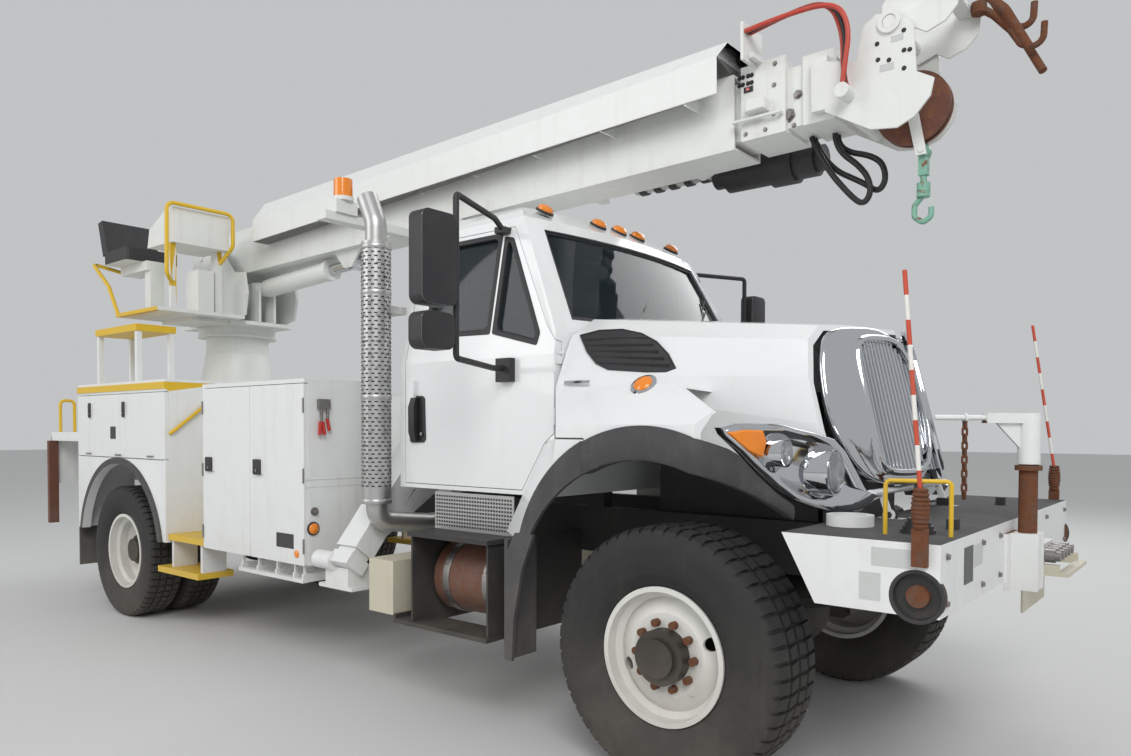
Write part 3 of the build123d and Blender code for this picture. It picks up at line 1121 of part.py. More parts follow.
def make_operator_station():
    """Platform beside the turret with a console, a chair post and yellow rails."""
    floor_low = TURRET_PLATE_TOP + SEAT_GAP
    cheek_face = -CHEEK_Y - CHEEK_THICK - SEAT_GAP
    floor = block(-5664, -4887, -1010, cheek_face, floor_low, STATION_FLOOR)
    slots = Part()
    for n in range(12):
        for m in range(3):
            slots += Pos(-5590 + 60 * n, -900 + 190 * m, STATION_FLOOR) * Box(34, 150, 100)
    floor = floor - slots
    bracket = block(-5600, -5060, -640, -300 - SEAT_GAP, RING_TOP, floor_low + 1)
    console = side_prism([(-4850, 3026), (-4850, 3309), (-4953, 3309), (-5260, 3180), (-5297, 3030)], -900, -420)
    legs = block(-4930, -4895, -895, -850, STATION_FLOOR - 1, 3030) + block(-5060, -4960, -470, -425, STATION_FLOOR - 1, 3030)
    valve = block(-5200, -4990, -620, -480, STATION_FLOOR - 1, 2860)
    chair_post = block(-5664, -5560, -760, -640, STATION_FLOOR - 1, 2900)
    chair_arm = block(-6080, -5560, -790, -610, 2900, 2980)
    rail = pipe([(-4905, -880, 2700), (-4830, -960, 2760), (-4820, -960, 3330), (-4820, -400, 3330), (-4820, -400, 3060),
                 (-4960, -440, 2930)], 60, 32)
    foot = block(-4920, -4890, -900, -860, 2680, 2720)
    back_rail = pipe([(-5650, -990, STATION_FLOOR - 20), (-5850, -990, 2760), (-6170, -990, 2990), (-6170, -700, 2940), (-6070, -700, 2940)], 40, 32)
    return floor + bracket + console + legs + valve + chair_post + chair_arm + rail + foot + back_rail


def make_operator_chair():
    cushion = block(-6100, -5640, -930, -470, 2980 + SEAT_GAP, 3090)
    back = side_prism([(-6110, 3060), (-6020, 3090), (-6120, 3384), (-6210, 3370)], -930, -470)
    cushion = fillet(cushion.edges().filter_by(Axis.Z), 40)
    return cushion + back


# Boom, in its own frame: u runs out along the boom from the pivot and w up from its underside
BOOM_FRAME = Location((BOOM_PIVOT_X, 0, BOOM_PIVOT_Z), (0, -BOOM_RISE, 0))
BOOM_LOW = -205.0


def boom_box(u0, u1, y0, y1, w0, w1):
    return BOOM_FRAME * block(u0, u1, y0, y1, w0, w1)


def make_boom():
    """The hollow main boom with its pivot ears, cylinder lugs, cover brackets and stow bracket."""
    half = BOOM_WIDTH / 2
    top = BOOM_LOW + BOOM_HEIGHT
    tube = block(-60, BOOM_MOUTH, -half, half, BOOM_LOW, top)
    tube -= block(-70, BOOM_MOUTH + 5, -half + BOOM_WALL, half - BOOM_WALL, BOOM_LOW + BOOM_WALL, top - BOOM_WALL)
    ears = Part()
    for side in (-1, 1):
        y0 = side * (half - 2)
        y1 = side * (half + 70)
        ears += rod_y(0, 0, 90, y0, y1)
    pin = rod_y(0, 0, BOOM_PIN_R, -CHEEK_Y - CHEEK_THICK - 12, CHEEK_Y + CHEEK_THICK + 12)
    tube = tube + ears + pin
    for n in range(8):
        u = COVER_START + 330 + n * 560
        for side in (-1, 1):
            tube += block(u, u + 14, side * (half - 1), side * (COVER_HALF - COVER_WALL - SEAT_GAP), top - 150, top - 60)
    lug_u = CYLINDER_EYE_X - BOOM_PIVOT_X
    lug_low = BOOM_LOW - CYLINDER_EYE_DROP - 50
    lug = side_prism([(lug_u - 170, BOOM_LOW + 2), (lug_u + 170, BOOM_LOW + 2), (lug_u + 50, lug_low), (lug_u - 50, lug_low)], -92, -72)
    tube += lug + left_of(lug)
    stow = block(4180, 4240, half - 2, half + 210, -160, 10)
    return BOOM_FRAME * (tube + stow)


def cover_section(u, low, fold, ridge, inset, drop):
    half = COVER_HALF - inset
    top_half = COVER_RIDGE_HALF - inset * 0.6
    points = [(-half, low - drop), (-half, fold), (-top_half, ridge - inset), (top_half, ridge - inset), (half, fold), (half, low - drop)]
    return Plane.YZ.offset(u) * make_face(Polyline(*points, close=True))


COVER_LOW = 46.0
COVER_FOLD = 236.0
COVER_RIDGE = 352.0


def make_boom_cover():
    """The sheet cover over the boom: open below, with a raised patch near its rear end."""
    outer = loft([cover_section(COVER_START, COVER_LOW - 60, COVER_FOLD - 70, COVER_RIDGE - 20, 0, 0),
                  cover_section(BOOM_MOUTH - 20, COVER_LOW, COVER_FOLD, COVER_RIDGE, 0, 0)], ruled=True)
    inner = loft([cover_section(COVER_START + COVER_WALL, COVER_LOW - 60, COVER_FOLD - 70, COVER_RIDGE - 20, COVER_WALL, 40),
                  cover_section(BOOM_MOUTH + 20, COVER_LOW, COVER_FOLD, COVER_RIDGE, COVER_WALL, 40)], ruled=True)
    cover = outer - inner
    tube_gap = block(COVER_START - 50, COVER_START + 60, -BOOM_WIDTH / 2 - 6, BOOM_WIDTH / 2 + 6, -400, BOOM_LOW + BOOM_HEIGHT + 6)
    return BOOM_FRAME * (cover - tube_gap)


# Extension stage with the tip plates
STAGE_LOW = BOOM_LOW + (BOOM_HEIGHT - STAGE_HEIGHT) / 2
STAGE_START = 1750.0
STAGE_END = 5960.0


def in_boom(x, z):
    """A place given by X and Z at rest, as distance along the boom and height above its axis."""
    out, up = x - BOOM_PIVOT_X, z - BOOM_PIVOT_Z
    rise = radians(BOOM_RISE)
    return (out * cos(rise) + up * sin(rise), up * cos(rise) - out * sin(rise))


def boom_point(x, y, z):
    """The same for a place that also lies off the middle plane."""
    along, up = in_boom(x, z)
    return (along, y, up)


def tip_points(points):
    return [in_boom(x, z) for x, z in points]


TIP_OUTLINE = tip_points([
    (300, 3050), (520, 2918), (640, 2900), (720, 2935), (785, 3010), (800, 3085), (724, 3132), (708, 3352),
    (640, 3420), (540, 3440), (480, 3400), (450, 3250), (300, 3290),
])


def make_boom_tip():
    half = STAGE_WIDTH / 2
    top = STAGE_LOW + STAGE_HEIGHT
    tube = block(STAGE_START, STAGE_END, -half, half, STAGE_LOW, top)
    tube -= block(STAGE_START - 5, STAGE_END - 16, -half + 10, half - 10, STAGE_LOW + 10, top - 10)
    room = (BOOM_HEIGHT - STAGE_HEIGHT) / 2 - BOOM_WALL - SEAT_GAP
    pads = block(STAGE_START, STAGE_START + 200, -half + 30, half - 30, STAGE_LOW - room, STAGE_LOW + 1)
    pads += block(STAGE_START, STAGE_START + 200, -half + 30, half - 30, top - 1, top + room)
    collar = block(BOOM_MOUTH + 45, BOOM_MOUTH + 290, -half - 34, half + 34, STAGE_LOW - 20, top + 40)
    collar -= block(BOOM_MOUTH + 40, BOOM_MOUTH + 295, -half + 1, half - 1, STAGE_LOW + 11, top - 11)
    second = block(BOOM_MOUTH + 380, BOOM_MOUTH + 540, -half - 28, half + 28, STAGE_LOW - 14, top + 24)
    second -= block(BOOM_MOUTH + 375, BOOM_MOUTH + 545, -half + 1, half - 1, STAGE_LOW + 11, top - 11)
    plate = side_prism(TIP_OUTLINE, -TIP_HALF, -TIP_HALF + TIP_PLATE)
    spacer = block(STAGE_END - 90, STAGE_END - 10, -TIP_HALF + 1, TIP_HALF - 1, STAGE_LOW + 20, top - 20)
    bush = rod_y(*in_boom(603, 3387), 52, -TIP_HALF - 14, -TIP_HALF + TIP_PLATE)
    cross = rod_y(*in_boom(420, 3010), 24, -TIP_HALF + 1, TIP_HALF - 1)
    axle = rod_y(*in_boom(SHEAVE_X, SHEAVE_Z), 22, -TIP_HALF + 1, TIP_HALF - 1)
    strap_ends = tip_points([(SHEAVE_X - 26, SHEAVE_Z), (SHEAVE_X + 26, SHEAVE_Z), (HOOK_PIN_X + 24, HOOK_PIN_Z - 22),
                             (HOOK_PIN_X - 24, HOOK_PIN_Z - 22)])
    strap = side_prism(strap_ends, -46, -34)
    hook_pin = rod_y(*in_boom(HOOK_PIN_X, HOOK_PIN_Z), 12, -52, 52)
    hub_boss = rod_y(*in_boom(HOSE_BOSS_X, HOSE_BOSS_Z), HOSE_BOSS_R, -TIP_HALF - 92, -TIP_HALF + 5)
    rail = block(BOOM_MOUTH + 45, BOOM_MOUTH + 290, -half - 34, -half - 10, top + 36, top + 62)
    rail += block(BOOM_MOUTH + 140, BOOM_MOUTH + 165, -half - 126, -half + 40, top + 56, top + 80)
    rail += block(BOOM_MOUTH + 118, BOOM_MOUTH + 134, -half - 176, -half + 30, top + 36, top + 225)
    whole = tube + pads + collar + second + plate + left_of(plate) + spacer + bush + left_of(bush) + cross + axle
    whole -= rod_y(*in_boom(603, 3387), GUIDE_PIN_R + SEAT_GAP, -TIP_HALF - 20, TIP_HALF + 20)
    return BOOM_FRAME * (whole + hub_boss + strap + left_of(strap) + hook_pin + rail)


def make_tip_sheave():
    u, w = in_boom(SHEAVE_X, SHEAVE_Z)
    wheel = rod_y(u, w, SHEAVE_R, -28, 28)
    groove = rod_y(u, w, SHEAVE_R + 5, -10, 10) - rod_y(u, w, SHEAVE_R - 20, -12, 12)
    bore = rod_y(u, w, 22.3, -60, 60)
    return BOOM_FRAME * (wheel - groove - bore)


def make_load_hook():
    """Eye, swivel and hook that hang from the pin between the straps."""
    x, z = HOOK_PIN_X, HOOK_PIN_Z
    eye = rod_y(x, z, 30, -22, 22) - rod_y(x, z, 12.5, -30, 30)
    neck = block(x - 20, x + 20, -20, 20, z - 110, z - 26)
    swivel = rod_z(x, 0, 15, z - 150, z - 105) + rod_z(x, 0, 30, z - 210, z - 145)
    hook_pts = [(x, 0, z - 200), (x - 40, 0, z - 245), (x - 40, 0, z - 298), (x, 0, z - 330), (x + 36, 0, z - 305), (x + 36, 0, z - 262)]
    hook = pipe(hook_pts, 22, 26)
    return eye + neck + swivel + hook


def make_pole_guide():
    """The frame over the tip that guides a pole, tilting on the upper bush."""
    outline = tip_points([(560, 3340), (620, 3310), (700, 3340), (760, 3302), (840, 3330), (890, 3385), (900, 3470), (860, 3530),
                          (600, 3530), (560, 3480)])
    plate = side_prism(outline, -TIP_HALF + TIP_PLATE + 6, -TIP_HALF + TIP_PLATE + 18)
    pin = rod_y(*in_boom(603, 3387), GUIDE_PIN_R, -TIP_HALF - 10, TIP_HALF + 10)
    bar = block(800, 869 - SEAT_GAP, -TIP_HALF + 20, TIP_HALF - 20, 3470, 3500)
    return BOOM_FRAME * (plate + left_of(plate) + pin) + bar


def make_tongs():
    """Two curved tongs with turned-up claws."""
    arm = pipe([boom_point(905, -120, 3478), boom_point(960, -150, 3440), boom_point(1080, -190, 3300),
                boom_point(1165, -150, 3130)], 60, 36)
    claw = pipe([boom_point(1010, -170, 3385), boom_point(1080, -120, 3260), boom_point(1170, -110, 3215),
                 boom_point(1175, -110, 3330)], 40, 28)
    knuckle = rod_z(903, -120, 34, 3450, 3500)
    return both_sides(BOOM_FRAME * (arm + claw) + knuckle)


def make_tip_hoses():
    """Hydraulic hoses from the boom's side to the tip, and the loops that hang below the tip."""
    hoses = []
    for n in range(3):
        y = -TIP_HALF - 34 - 25 * n
        spread = 26.0 * n
        route = [(-82, y, 3522 - 3 * n), (120, y, 3560 - 14 * n), (330 + spread, y, 3560 - 20 * n),
                 (400 + spread, y, 3380), (400 + spread * 0.5, y, 3200), (HOSE_BOSS_X, y + 10, HOSE_BOSS_Z + HOSE_BOSS_R + 2.5)]
        hoses.append(pipe(route, 40, 24))
    for n, (reach, low) in enumerate(((0.0, 2640.0), (60.0, 2700.0))):
        y = 60.0 + 38 * n
        route = [(125, y, 3034.4), (190, y, 2880), (330 + reach, y, low + 60), (400 + reach, y, low), (440 + reach, y, low + 70),
                 (400 + reach, y, low + 180), (250, y, 2950), (250, y, 3028.5)]
        hoses.append(pipe(route, 24, 30))
    return group(*hoses)


def make_digger():
    """The auger motor and its output tube, stowed beside the boom, with the strap wound round it."""
    y = 300.0
    motor = rod_x(y, 3000, 92, -480, 60) + rod_x(y, 3000, 110, -200, -60) + rod_x(y, 3000, 70, 55, 100)
    tube = rod_x(y, 3056, 48, -1138, -470)
    gear = rod_x(y, 3020, 80, -560, -470)
    saddle = block(-650, -540, BOOM_WIDTH / 2 + SEAT_GAP, 270, 3006, 3096)
    rings = Part()
    for n in range(5):
        rings += rod_x(y, 3056, 60, -1100 + 110 * n, -1060 + 110 * n)
    return motor + tube + gear + saddle + rings


def make_lift_barrel():
    """Cylinder barrel with its base eye between the turret lugs."""
    reach = 1046.0
    barrel = rod_x(0, 0, BARREL_R, 90, reach) - rod_x(0, 0, BARREL_R - 14, 130, reach + 5)
    barrel += rod_x(0, 0, BARREL_R + 8, reach - 60, reach) - rod_x(0, 0, ROD_R + 0.5, reach - 80, reach + 5)
    eye = rod_y(0, 0, 58, -55, 55) + block(0, 110, -45, 45, -50, 50)
    pin = rod_y(0, 0, 30, -90, 90)
    return CYLINDER_FRAME * (barrel + eye + pin)


def make_lift_rod():
    """Cylinder rod with its eye between the boom's lugs."""
    end = CYLINDER_LENGTH
    rod = rod_x(0, 0, ROD_R, 150, end - 40) + rod_x(0, 0, BARREL_R - 14.5, 150, 190)
    eye = rod_y(end, 0, 60, -60, 60) - rod_y(end, 0, 28, -70, 70)
    return CYLINDER_FRAME * (rod + eye)


CYLINDER_EYE_W = BOOM_LOW - CYLINDER_EYE_DROP
CYLINDER_EYE_Z = BOOM_PIVOT_Z + (CYLINDER_EYE_X - BOOM_PIVOT_X) * sin(radians(BOOM_RISE)) + CYLINDER_EYE_W
CYLINDER_LENGTH = hypot(CYLINDER_EYE_X - CYLINDER_PIN_X, CYLINDER_EYE_Z - CYLINDER_PIN_Z)
CYLINDER_TILT = degrees(atan2(CYLINDER_EYE_Z - CYLINDER_PIN_Z, CYLINDER_EYE_X - CYLINDER_PIN_X))
CYLINDER_FRAME = Location((CYLINDER_PIN_X, 0, CYLINDER_PIN_Z), (0, -CYLINDER_TILT, 0))


# Boom rest behind the cab with the amber beacon, and the folded outriggers
REST_X = -2330.0


def make_boom_rest():
    z_boom = BOOM_PIVOT_Z + (REST_X - BOOM_PIVOT_X) * sin(radians(BOOM_RISE)) + BOOM_LOW
    posts = Part()
    for y in (-300.0, 300.0):
        posts += block(REST_X - 40, REST_X + 40, y - 40, y + 40, FRAME_TOP, 2760)
    feet = block(REST_X - 60, REST_X + 60, -FRAME_HALF, FRAME_HALF, FRAME_TOP, FRAME_TOP + 20)
    beam = block(REST_X - 45, REST_X + 45, -1225, 1225, 2750, 2800)
    cradle = block(REST_X - 60, REST_X + 60, -170, 170, 2798, z_boom - 60 * sin(radians(BOOM_RISE)) - SEAT_GAP)
    stand = block(REST_X - 60, REST_X + 60, -1160, -1010, 2798, 2876)
    beacon = rod_z(REST_X + 20, -1085, 62, 2876, 2900) + rod_z(REST_X + 20, -1085, 56, 2898, 3006)
    ties = block(REST_X - 12, REST_X + 12, -520, 520, 1900, 1960)
    return posts + feet + beam + cradle + stand + beacon + ties


# Outriggers: a diagonal square tube each side, and a leg that slides down and outward in it
LEG_FRONT = -2070.0
LEG_REAR = -2256.0
LEG_FOOT = (-1246.0, 752.0)
LEG_OUT = (-0.6228, -0.7823)
LEG_DEPTH = 150.0
HOUSING_WALL = 12.0
LEG_CLEARANCE = 5.0
HOUSING_START = 110.0
HOUSING_LENGTH = 1250.0


def leg_point(along, depth):
    """A place in Y and Z: along is up the leg from its foot, depth is in from its outer face."""
    return (LEG_FOOT[0] - LEG_OUT[0] * along - LEG_OUT[1] * depth, LEG_FOOT[1] - LEG_OUT[1] * along + LEG_OUT[0] * depth)


def leg_bar(start, end, inset):
    """A straight length of the right leg's square section, drawn in by an inset."""
    far = LEG_DEPTH - inset
    corners = [leg_point(start, inset), leg_point(start, far), leg_point(end, far), leg_point(end, inset)]
    return front_prism(corners, LEG_REAR + inset, LEG_FRONT - inset)


def make_outrigger_housing():
    """The two diagonal tubes, joined by a beam over the frame and stood on the rails."""
    tube = leg_bar(HOUSING_START, HOUSING_LENGTH, 0)
    hollow = leg_bar(HOUSING_START - 10, HOUSING_LENGTH - HOUSING_WALL, HOUSING_WALL)
    upright = block(LEG_REAR, LEG_FRONT, -FRAME_HALF, -FRAME_HALF + RAIL_FLANGE, FRAME_TOP, 1640)
    brace = front_prism([(-FRAME_HALF, 1200), (-FRAME_HALF, 1420), leg_point(480, LEG_DEPTH - 5), leg_point(260, LEG_DEPTH - 5)],
                        LEG_FRONT - 14, LEG_FRONT - 2)
    beam = block(LEG_REAR, LEG_FRONT, -400, 400, 1640, 1700)
    right = tube + upright + brace + beam
    return right + left_of(right) - hollow - left_of(hollow)


def make_outrigger_right():
    """The sliding leg with its foot box, ground plate and the round pin behind it."""
    leg = leg_bar(0, 1080, HOUSING_WALL + LEG_CLEARANCE)
    leg += leg_bar(960, 1050, HOUSING_WALL + SEAT_GAP)
    ankle = leg_bar(0, HOUSING_START - 30, 4)
    foot = block(-2330, -2110, -1204, -1010, 600, 705)
    plate = block(-2380, -2060, -1216, -960, 580, 601)
    roller = rod_x(-1200, 740, 54, -2400, LEG_REAR + 20)
    return leg + ankle + foot + plate + roller


# Write every node
cab_shell = cab_solid(0) - cab_solid(CAB_WALL)
truck_hood = make_hood()
NODES = {
    "frame": make_frame(),
    "axles": make_axles(),
    "engine": make_engine(),
    "cab": make_cab(cab_shell),
    "cab_interior": make_cab_interior(),
    "cab_glass": make_cab_glass(),
    "front_bumper": make_front_bumper(),
    "bumper_gear": group(make_bumper_gear(), make_tool_post()),
    "cab_steps": make_cab_steps(),
    "side_tanks": make_side_tanks(),
    "exhaust_stack": make_exhaust_stack(),
    "front_cabinets": make_front_cabinets(),
    "rear_cabinets": make_rear_cabinets(),
    "step_frame": make_step_frame(),
    "bed": group(make_bed(), make_tail_gear()),
    "pedestal": make_pedestal(),
    "boom_rest": make_boom_rest(),
    "outrigger_housing": make_outrigger_housing(),
    "hood": truck_hood,
    "grille": make_grille(),
    "turret": make_turret(),
    "operator_station": group(make_operator_station(), make_operator_chair()),
    "boom": make_boom(),
    "boom_cover": make_boom_cover(),
    "digger": make_digger(),
    "boom_tip": group(make_boom_tip(), make_tip_sheave()),
    "tip_hoses": make_tip_hoses(),
    "pole_guide": make_pole_guide(),
    "tongs": make_tongs(),
    "load_hook": make_load_hook(),
    "lift_barrel": make_lift_barrel(),
    "lift_rod": make_lift_rod(),
    "swing_arm": make_swing_arm(),
}
PAIRED = {
    "knuckle": make_knuckle_right(),
    "front_tyre": make_front_tyre_right(),
    "front_wheel": make_front_wheel_right(),
    "rear_tyres": make_rear_tyres_right(),
    "rear_wheels": make_rear_wheels_right(),
    "door": make_door_right(cab_shell),
    "door_glass": make_door_glass_right(),
    "mirror": make_mirror_right(),
    "cabinet_door_front": tall_door(True),
    "cabinet_door_rear": tall_door(False),
    "box_door": make_box_door_right(),
    "outrigger": make_outrigger_right(),
}
SAME_BODY_PAIRS = {
    "headlights": make_headlight_right() - truck_hood,
    "fender_flares": make_flare_right(),
}
for node, shape in NODES.items():
    save(shape, node)
for node, shape in PAIRED.items():
    save(shape, node + "_right")
    save(left_of(shape), node + "_left")
for node, shape in SAME_BODY_PAIRS.items():
    save(both_sides(shape), node)
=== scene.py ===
import json
import math
import bmesh
import bpy
from mathutils import Matrix, Vector

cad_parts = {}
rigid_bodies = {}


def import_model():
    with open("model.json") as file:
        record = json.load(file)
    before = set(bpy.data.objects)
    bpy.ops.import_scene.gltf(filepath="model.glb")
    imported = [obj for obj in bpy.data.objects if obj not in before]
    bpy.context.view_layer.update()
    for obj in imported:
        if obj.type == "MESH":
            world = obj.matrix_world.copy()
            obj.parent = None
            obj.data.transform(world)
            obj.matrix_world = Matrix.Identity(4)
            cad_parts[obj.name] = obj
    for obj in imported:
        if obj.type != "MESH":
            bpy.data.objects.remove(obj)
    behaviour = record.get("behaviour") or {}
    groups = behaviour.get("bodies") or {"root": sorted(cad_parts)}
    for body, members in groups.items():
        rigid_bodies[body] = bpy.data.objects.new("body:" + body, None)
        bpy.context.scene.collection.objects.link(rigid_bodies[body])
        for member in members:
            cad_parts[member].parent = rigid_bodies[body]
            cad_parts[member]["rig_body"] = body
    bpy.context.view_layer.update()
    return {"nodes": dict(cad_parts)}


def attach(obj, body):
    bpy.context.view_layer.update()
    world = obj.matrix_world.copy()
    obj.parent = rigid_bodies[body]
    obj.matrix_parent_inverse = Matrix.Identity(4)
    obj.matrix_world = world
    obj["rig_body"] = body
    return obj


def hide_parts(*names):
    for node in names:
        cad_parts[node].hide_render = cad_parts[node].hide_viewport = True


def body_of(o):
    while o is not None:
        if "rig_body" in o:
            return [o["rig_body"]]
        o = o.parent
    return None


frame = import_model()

nodes = frame["nodes"]

# Drawing places are given in millimetres from the front axle, as in the part's source
TRUCK_SHIFT = 2725.0
SIDES = (("right", -1), ("left", 1))
FRONT_HUB_Z = 555.0
REAR_HUB_X, REAR_HUB_Z = -5118.0, 525.0
BODY_SIDE = 1219.0
CABINET_REAR, CABINET_FRONT = -3761.0, -2523.0
BUMPER_FRONT, DECK_TOP = 1127.0, 1136.0
COUPLER_X, COUPLER_Z = 1052.0, 954.0
# How far what is set on a flat face stands off it
STAND_OFF = 0.4
AHEAD = (1, 0, 0)

# The photograph's camera, from its perspective
PHOTO_WIDTH, PHOTO_HEIGHT = 1131, 756
CAMERA_PLACE = (1928, -4131, 1519)
CAMERA_TURNS = (39.48, -1.39, 0.18)
FOCAL_PIXELS = 837.6
CENTRE_PIXEL = (565.4, 449.6)
SENSOR_WIDTH = 36.0


def at(x, y, z):
    """A place of the drawing in the scene's metres."""
    return Vector(((x + TRUCK_SHIFT) / 1000, y / 1000, z / 1000))


def set_camera():
    data = bpy.data.cameras.new("photo_camera")
    camera = bpy.data.objects.new("photo_camera", data)
    bpy.context.scene.collection.objects.link(camera)
    azimuth, elevation, roll = (math.radians(angle) for angle in CAMERA_TURNS)
    view = Vector((-math.sin(azimuth) * math.cos(elevation), math.cos(azimuth) * math.cos(elevation),
                   math.sin(elevation)))
    turn = view.to_track_quat("-Z", "Y").to_matrix().to_4x4() @ Matrix.Rotation(roll, 4, "Z")
    camera.matrix_world = Matrix.Translation(at(*CAMERA_PLACE)) @ turn
    data.sensor_width = SENSOR_WIDTH
    data.lens = FOCAL_PIXELS / PHOTO_WIDTH * SENSOR_WIDTH
    data.shift_x = (PHOTO_WIDTH / 2 - CENTRE_PIXEL[0]) / PHOTO_WIDTH
    data.shift_y = (CENTRE_PIXEL[1] - PHOTO_HEIGHT / 2) / PHOTO_WIDTH
    data.clip_end = 300.0
    bpy.context.scene.camera = camera


# Shader groups that several finishes share
def new_group(name, inputs, outputs):
    tree = bpy.data.node_groups.new(name, "ShaderNodeTree")
    for label, kind, value in inputs:
        socket = tree.interface.new_socket(name=label, in_out="INPUT", socket_type=kind)
        socket.default_value = value
    for label, kind in outputs:
        tree.interface.new_socket(name=label, in_out="OUTPUT", socket_type=kind)
    return tree, tree.nodes.new("NodeGroupInput"), tree.nodes.new("NodeGroupOutput")


def plug(tree, value, socket):
    """Links a value that is a socket itself, and writes a plain one."""
    if isinstance(value, bpy.types.NodeSocket):
        tree.links.new(value, socket)
    else:
        socket.default_value = value


def set_inputs(node, values):
    for label, value in values.items():
        node.inputs[label].default_value = value


def math_node(tree, operation, first, second, clamp=False):
    node = tree.nodes.new("ShaderNodeMath")
    node.operation = operation
    node.use_clamp = clamp
    plug(tree, first, node.inputs[0])
    plug(tree, second, node.inputs[1])
    return node.outputs[0]


def noise(tree, scale, detail, roughness=0.55, stretch=None):
    coords = tree.nodes.new("ShaderNodeTexCoord")
    texture = tree.nodes.new("ShaderNodeTexNoise")
    set_inputs(texture, {"Detail": detail, "Roughness": roughness})
    plug(tree, scale, texture.inputs["Scale"])
    place = coords.outputs["Object"]
    if stretch is not None:
        mapping = tree.nodes.new("ShaderNodeMapping")
        mapping.inputs["Scale"].default_value = stretch
        tree.links.new(place, mapping.inputs["Vector"])
        place = mapping.outputs["Vector"]
    tree.links.new(place, texture.inputs["Vector"])
    return texture.outputs["Fac"]


def ramp(tree, value, low, high):
    """The share of the way a value is from low to high, held between 0 and 1."""
    node = tree.nodes.new("ShaderNodeMapRange")
    node.clamp = True
    set_inputs(node, {"From Min": low, "From Max": high})
    tree.links.new(value, node.inputs["Value"])
    return node.outputs["Result"]


def mix_colour(tree, share, first, second):
    node = tree.nodes.new("ShaderNodeMix")
    node.data_type = "RGBA"
    for socket, value in ((node.inputs["Factor"], share), (node.inputs[6], first), (node.inputs[7], second)):
        plug(tree, value, socket)
    return node.outputs[2]


def build_weather_group():
    """Road dust low down, faint streaks that run down, and blotches, over a base colour."""
    tree, group_in, group_out = new_group(
        "field weather",
        [("Base", "NodeSocketColor", (0.8, 0.8, 0.8, 1)), ("Dust", "NodeSocketColor", (0.3, 0.25, 0.18, 1)),
         ("Dust Height", "NodeSocketFloat", 1.1), ("Dust Amount", "NodeSocketFloat", 0.3),
         ("Streak Amount", "NodeSocketFloat", 0.15), ("Blotch Amount", "NodeSocketFloat", 0.1)],
        [("Color", "NodeSocketColor"), ("Dirt", "NodeSocketFloat")])
    coords = tree.nodes.new("ShaderNodeTexCoord")
    split = tree.nodes.new("ShaderNodeSeparateXYZ")
    tree.links.new(coords.outputs["Object"], split.inputs["Vector"])
    cloud = noise(tree, 3.5, 6.0, 0.62)
    height = math_node(tree, "DIVIDE", split.outputs["Z"], group_in.outputs["Dust Height"])
    low = math_node(tree, "SUBTRACT", 1.0, height, clamp=True)
    dust = math_node(tree, "MULTIPLY", math_node(tree, "ADD", low, ramp(tree, cloud, 0.45, 0.8)), low)
    dust = math_node(tree, "MULTIPLY", dust, group_in.outputs["Dust Amount"], clamp=True)
    streak = ramp(tree, noise(tree, 1.0, 5.0, 0.6, (16.0, 16.0, 1.1)), 0.55, 0.85)
    streak = math_node(tree, "MULTIPLY", streak, group_in.outputs["Streak Amount"])
    blotch = ramp(tree, noise(tree, 9.0, 8.0, 0.7), 0.5, 0.8)
    blotch = math_node(tree, "MULTIPLY", blotch, group_in.outputs["Blotch Amount"])
    dirt = math_node(tree, "ADD", math_node(tree, "ADD", dust, streak), blotch, clamp=True)
    colour = mix_colour(tree, dirt, group_in.outputs["Base"], group_in.outputs["Dust"])
    tree.links.new(colour, group_out.inputs["Color"])
    tree.links.new(dirt, group_out.inputs["Dirt"])
    return tree


def build_rust_group():
    """Rust that blooms in spots."""
    tree, group_in, group_out = new_group(
        "rust bloom",
        [("Base", "NodeSocketColor", (0.8, 0.8, 0.8, 1)), ("Rust", "NodeSocketColor", (0.13, 0.045, 0.022, 1)),
         ("Spot Scale", "NodeSocketFloat", 12.0), ("Amount", "NodeSocketFloat", 0.3)],
        [("Color", "NodeSocketColor"), ("Mask", "NodeSocketFloat")])
    spots = noise(tree, group_in.outputs["Spot Scale"], 8.0, 0.68)
    limit = math_node(tree, "SUBTRACT", 0.82, math_node(tree, "MULTIPLY", group_in.outputs["Amount"], 0.5))
    mask = math_node(tree, "MULTIPLY", math_node(tree, "SUBTRACT", spots, limit), 12.0, clamp=True)
    tone = mix_colour(tree, noise(tree, 60.0, 4.0), group_in.outputs["Rust"], (0.24, 0.10, 0.05, 1))
    tree.links.new(mix_colour(tree, mask, group_in.outputs["Base"], tone), group_out.inputs["Color"])
    tree.links.new(mask, group_out.inputs["Mask"])
    return tree


def build_texture_group():
    """Fine surface relief: orange peel of paint, grain of plastic or pitting of iron."""
    tree, group_in, group_out = new_group(
        "surface relief",
        [("Grain Scale", "NodeSocketFloat", 200.0), ("Wave Scale", "NodeSocketFloat", 8.0),
         ("Wave Share", "NodeSocketFloat", 0.5)],
        [("Height", "NodeSocketFloat")])
    grain = noise(tree, group_in.outputs["Grain Scale"], 3.0)
    wave = math_node(tree, "MULTIPLY", noise(tree, group_in.outputs["Wave Scale"], 2.0), group_in.outputs["Wave Share"])
    tree.links.new(math_node(tree, "ADD", grain, wave), group_out.inputs["Height"])
    return tree


WEATHER = build_weather_group()
RUST = build_rust_group()
RELIEF = build_texture_group()


BUMP_DEPTH = 0.002
DIRT_ROUGHNESS, RUST_ROUGHNESS = 0.35, 0.3
GLASS_ROUGHNESS, GLASS_IOR = 0.03, 1.45


def new_material(name):
    material = bpy.data.materials.new(name)
    material.use_nodes = True
    return material, material.node_tree, material.node_tree.nodes["Principled BSDF"]


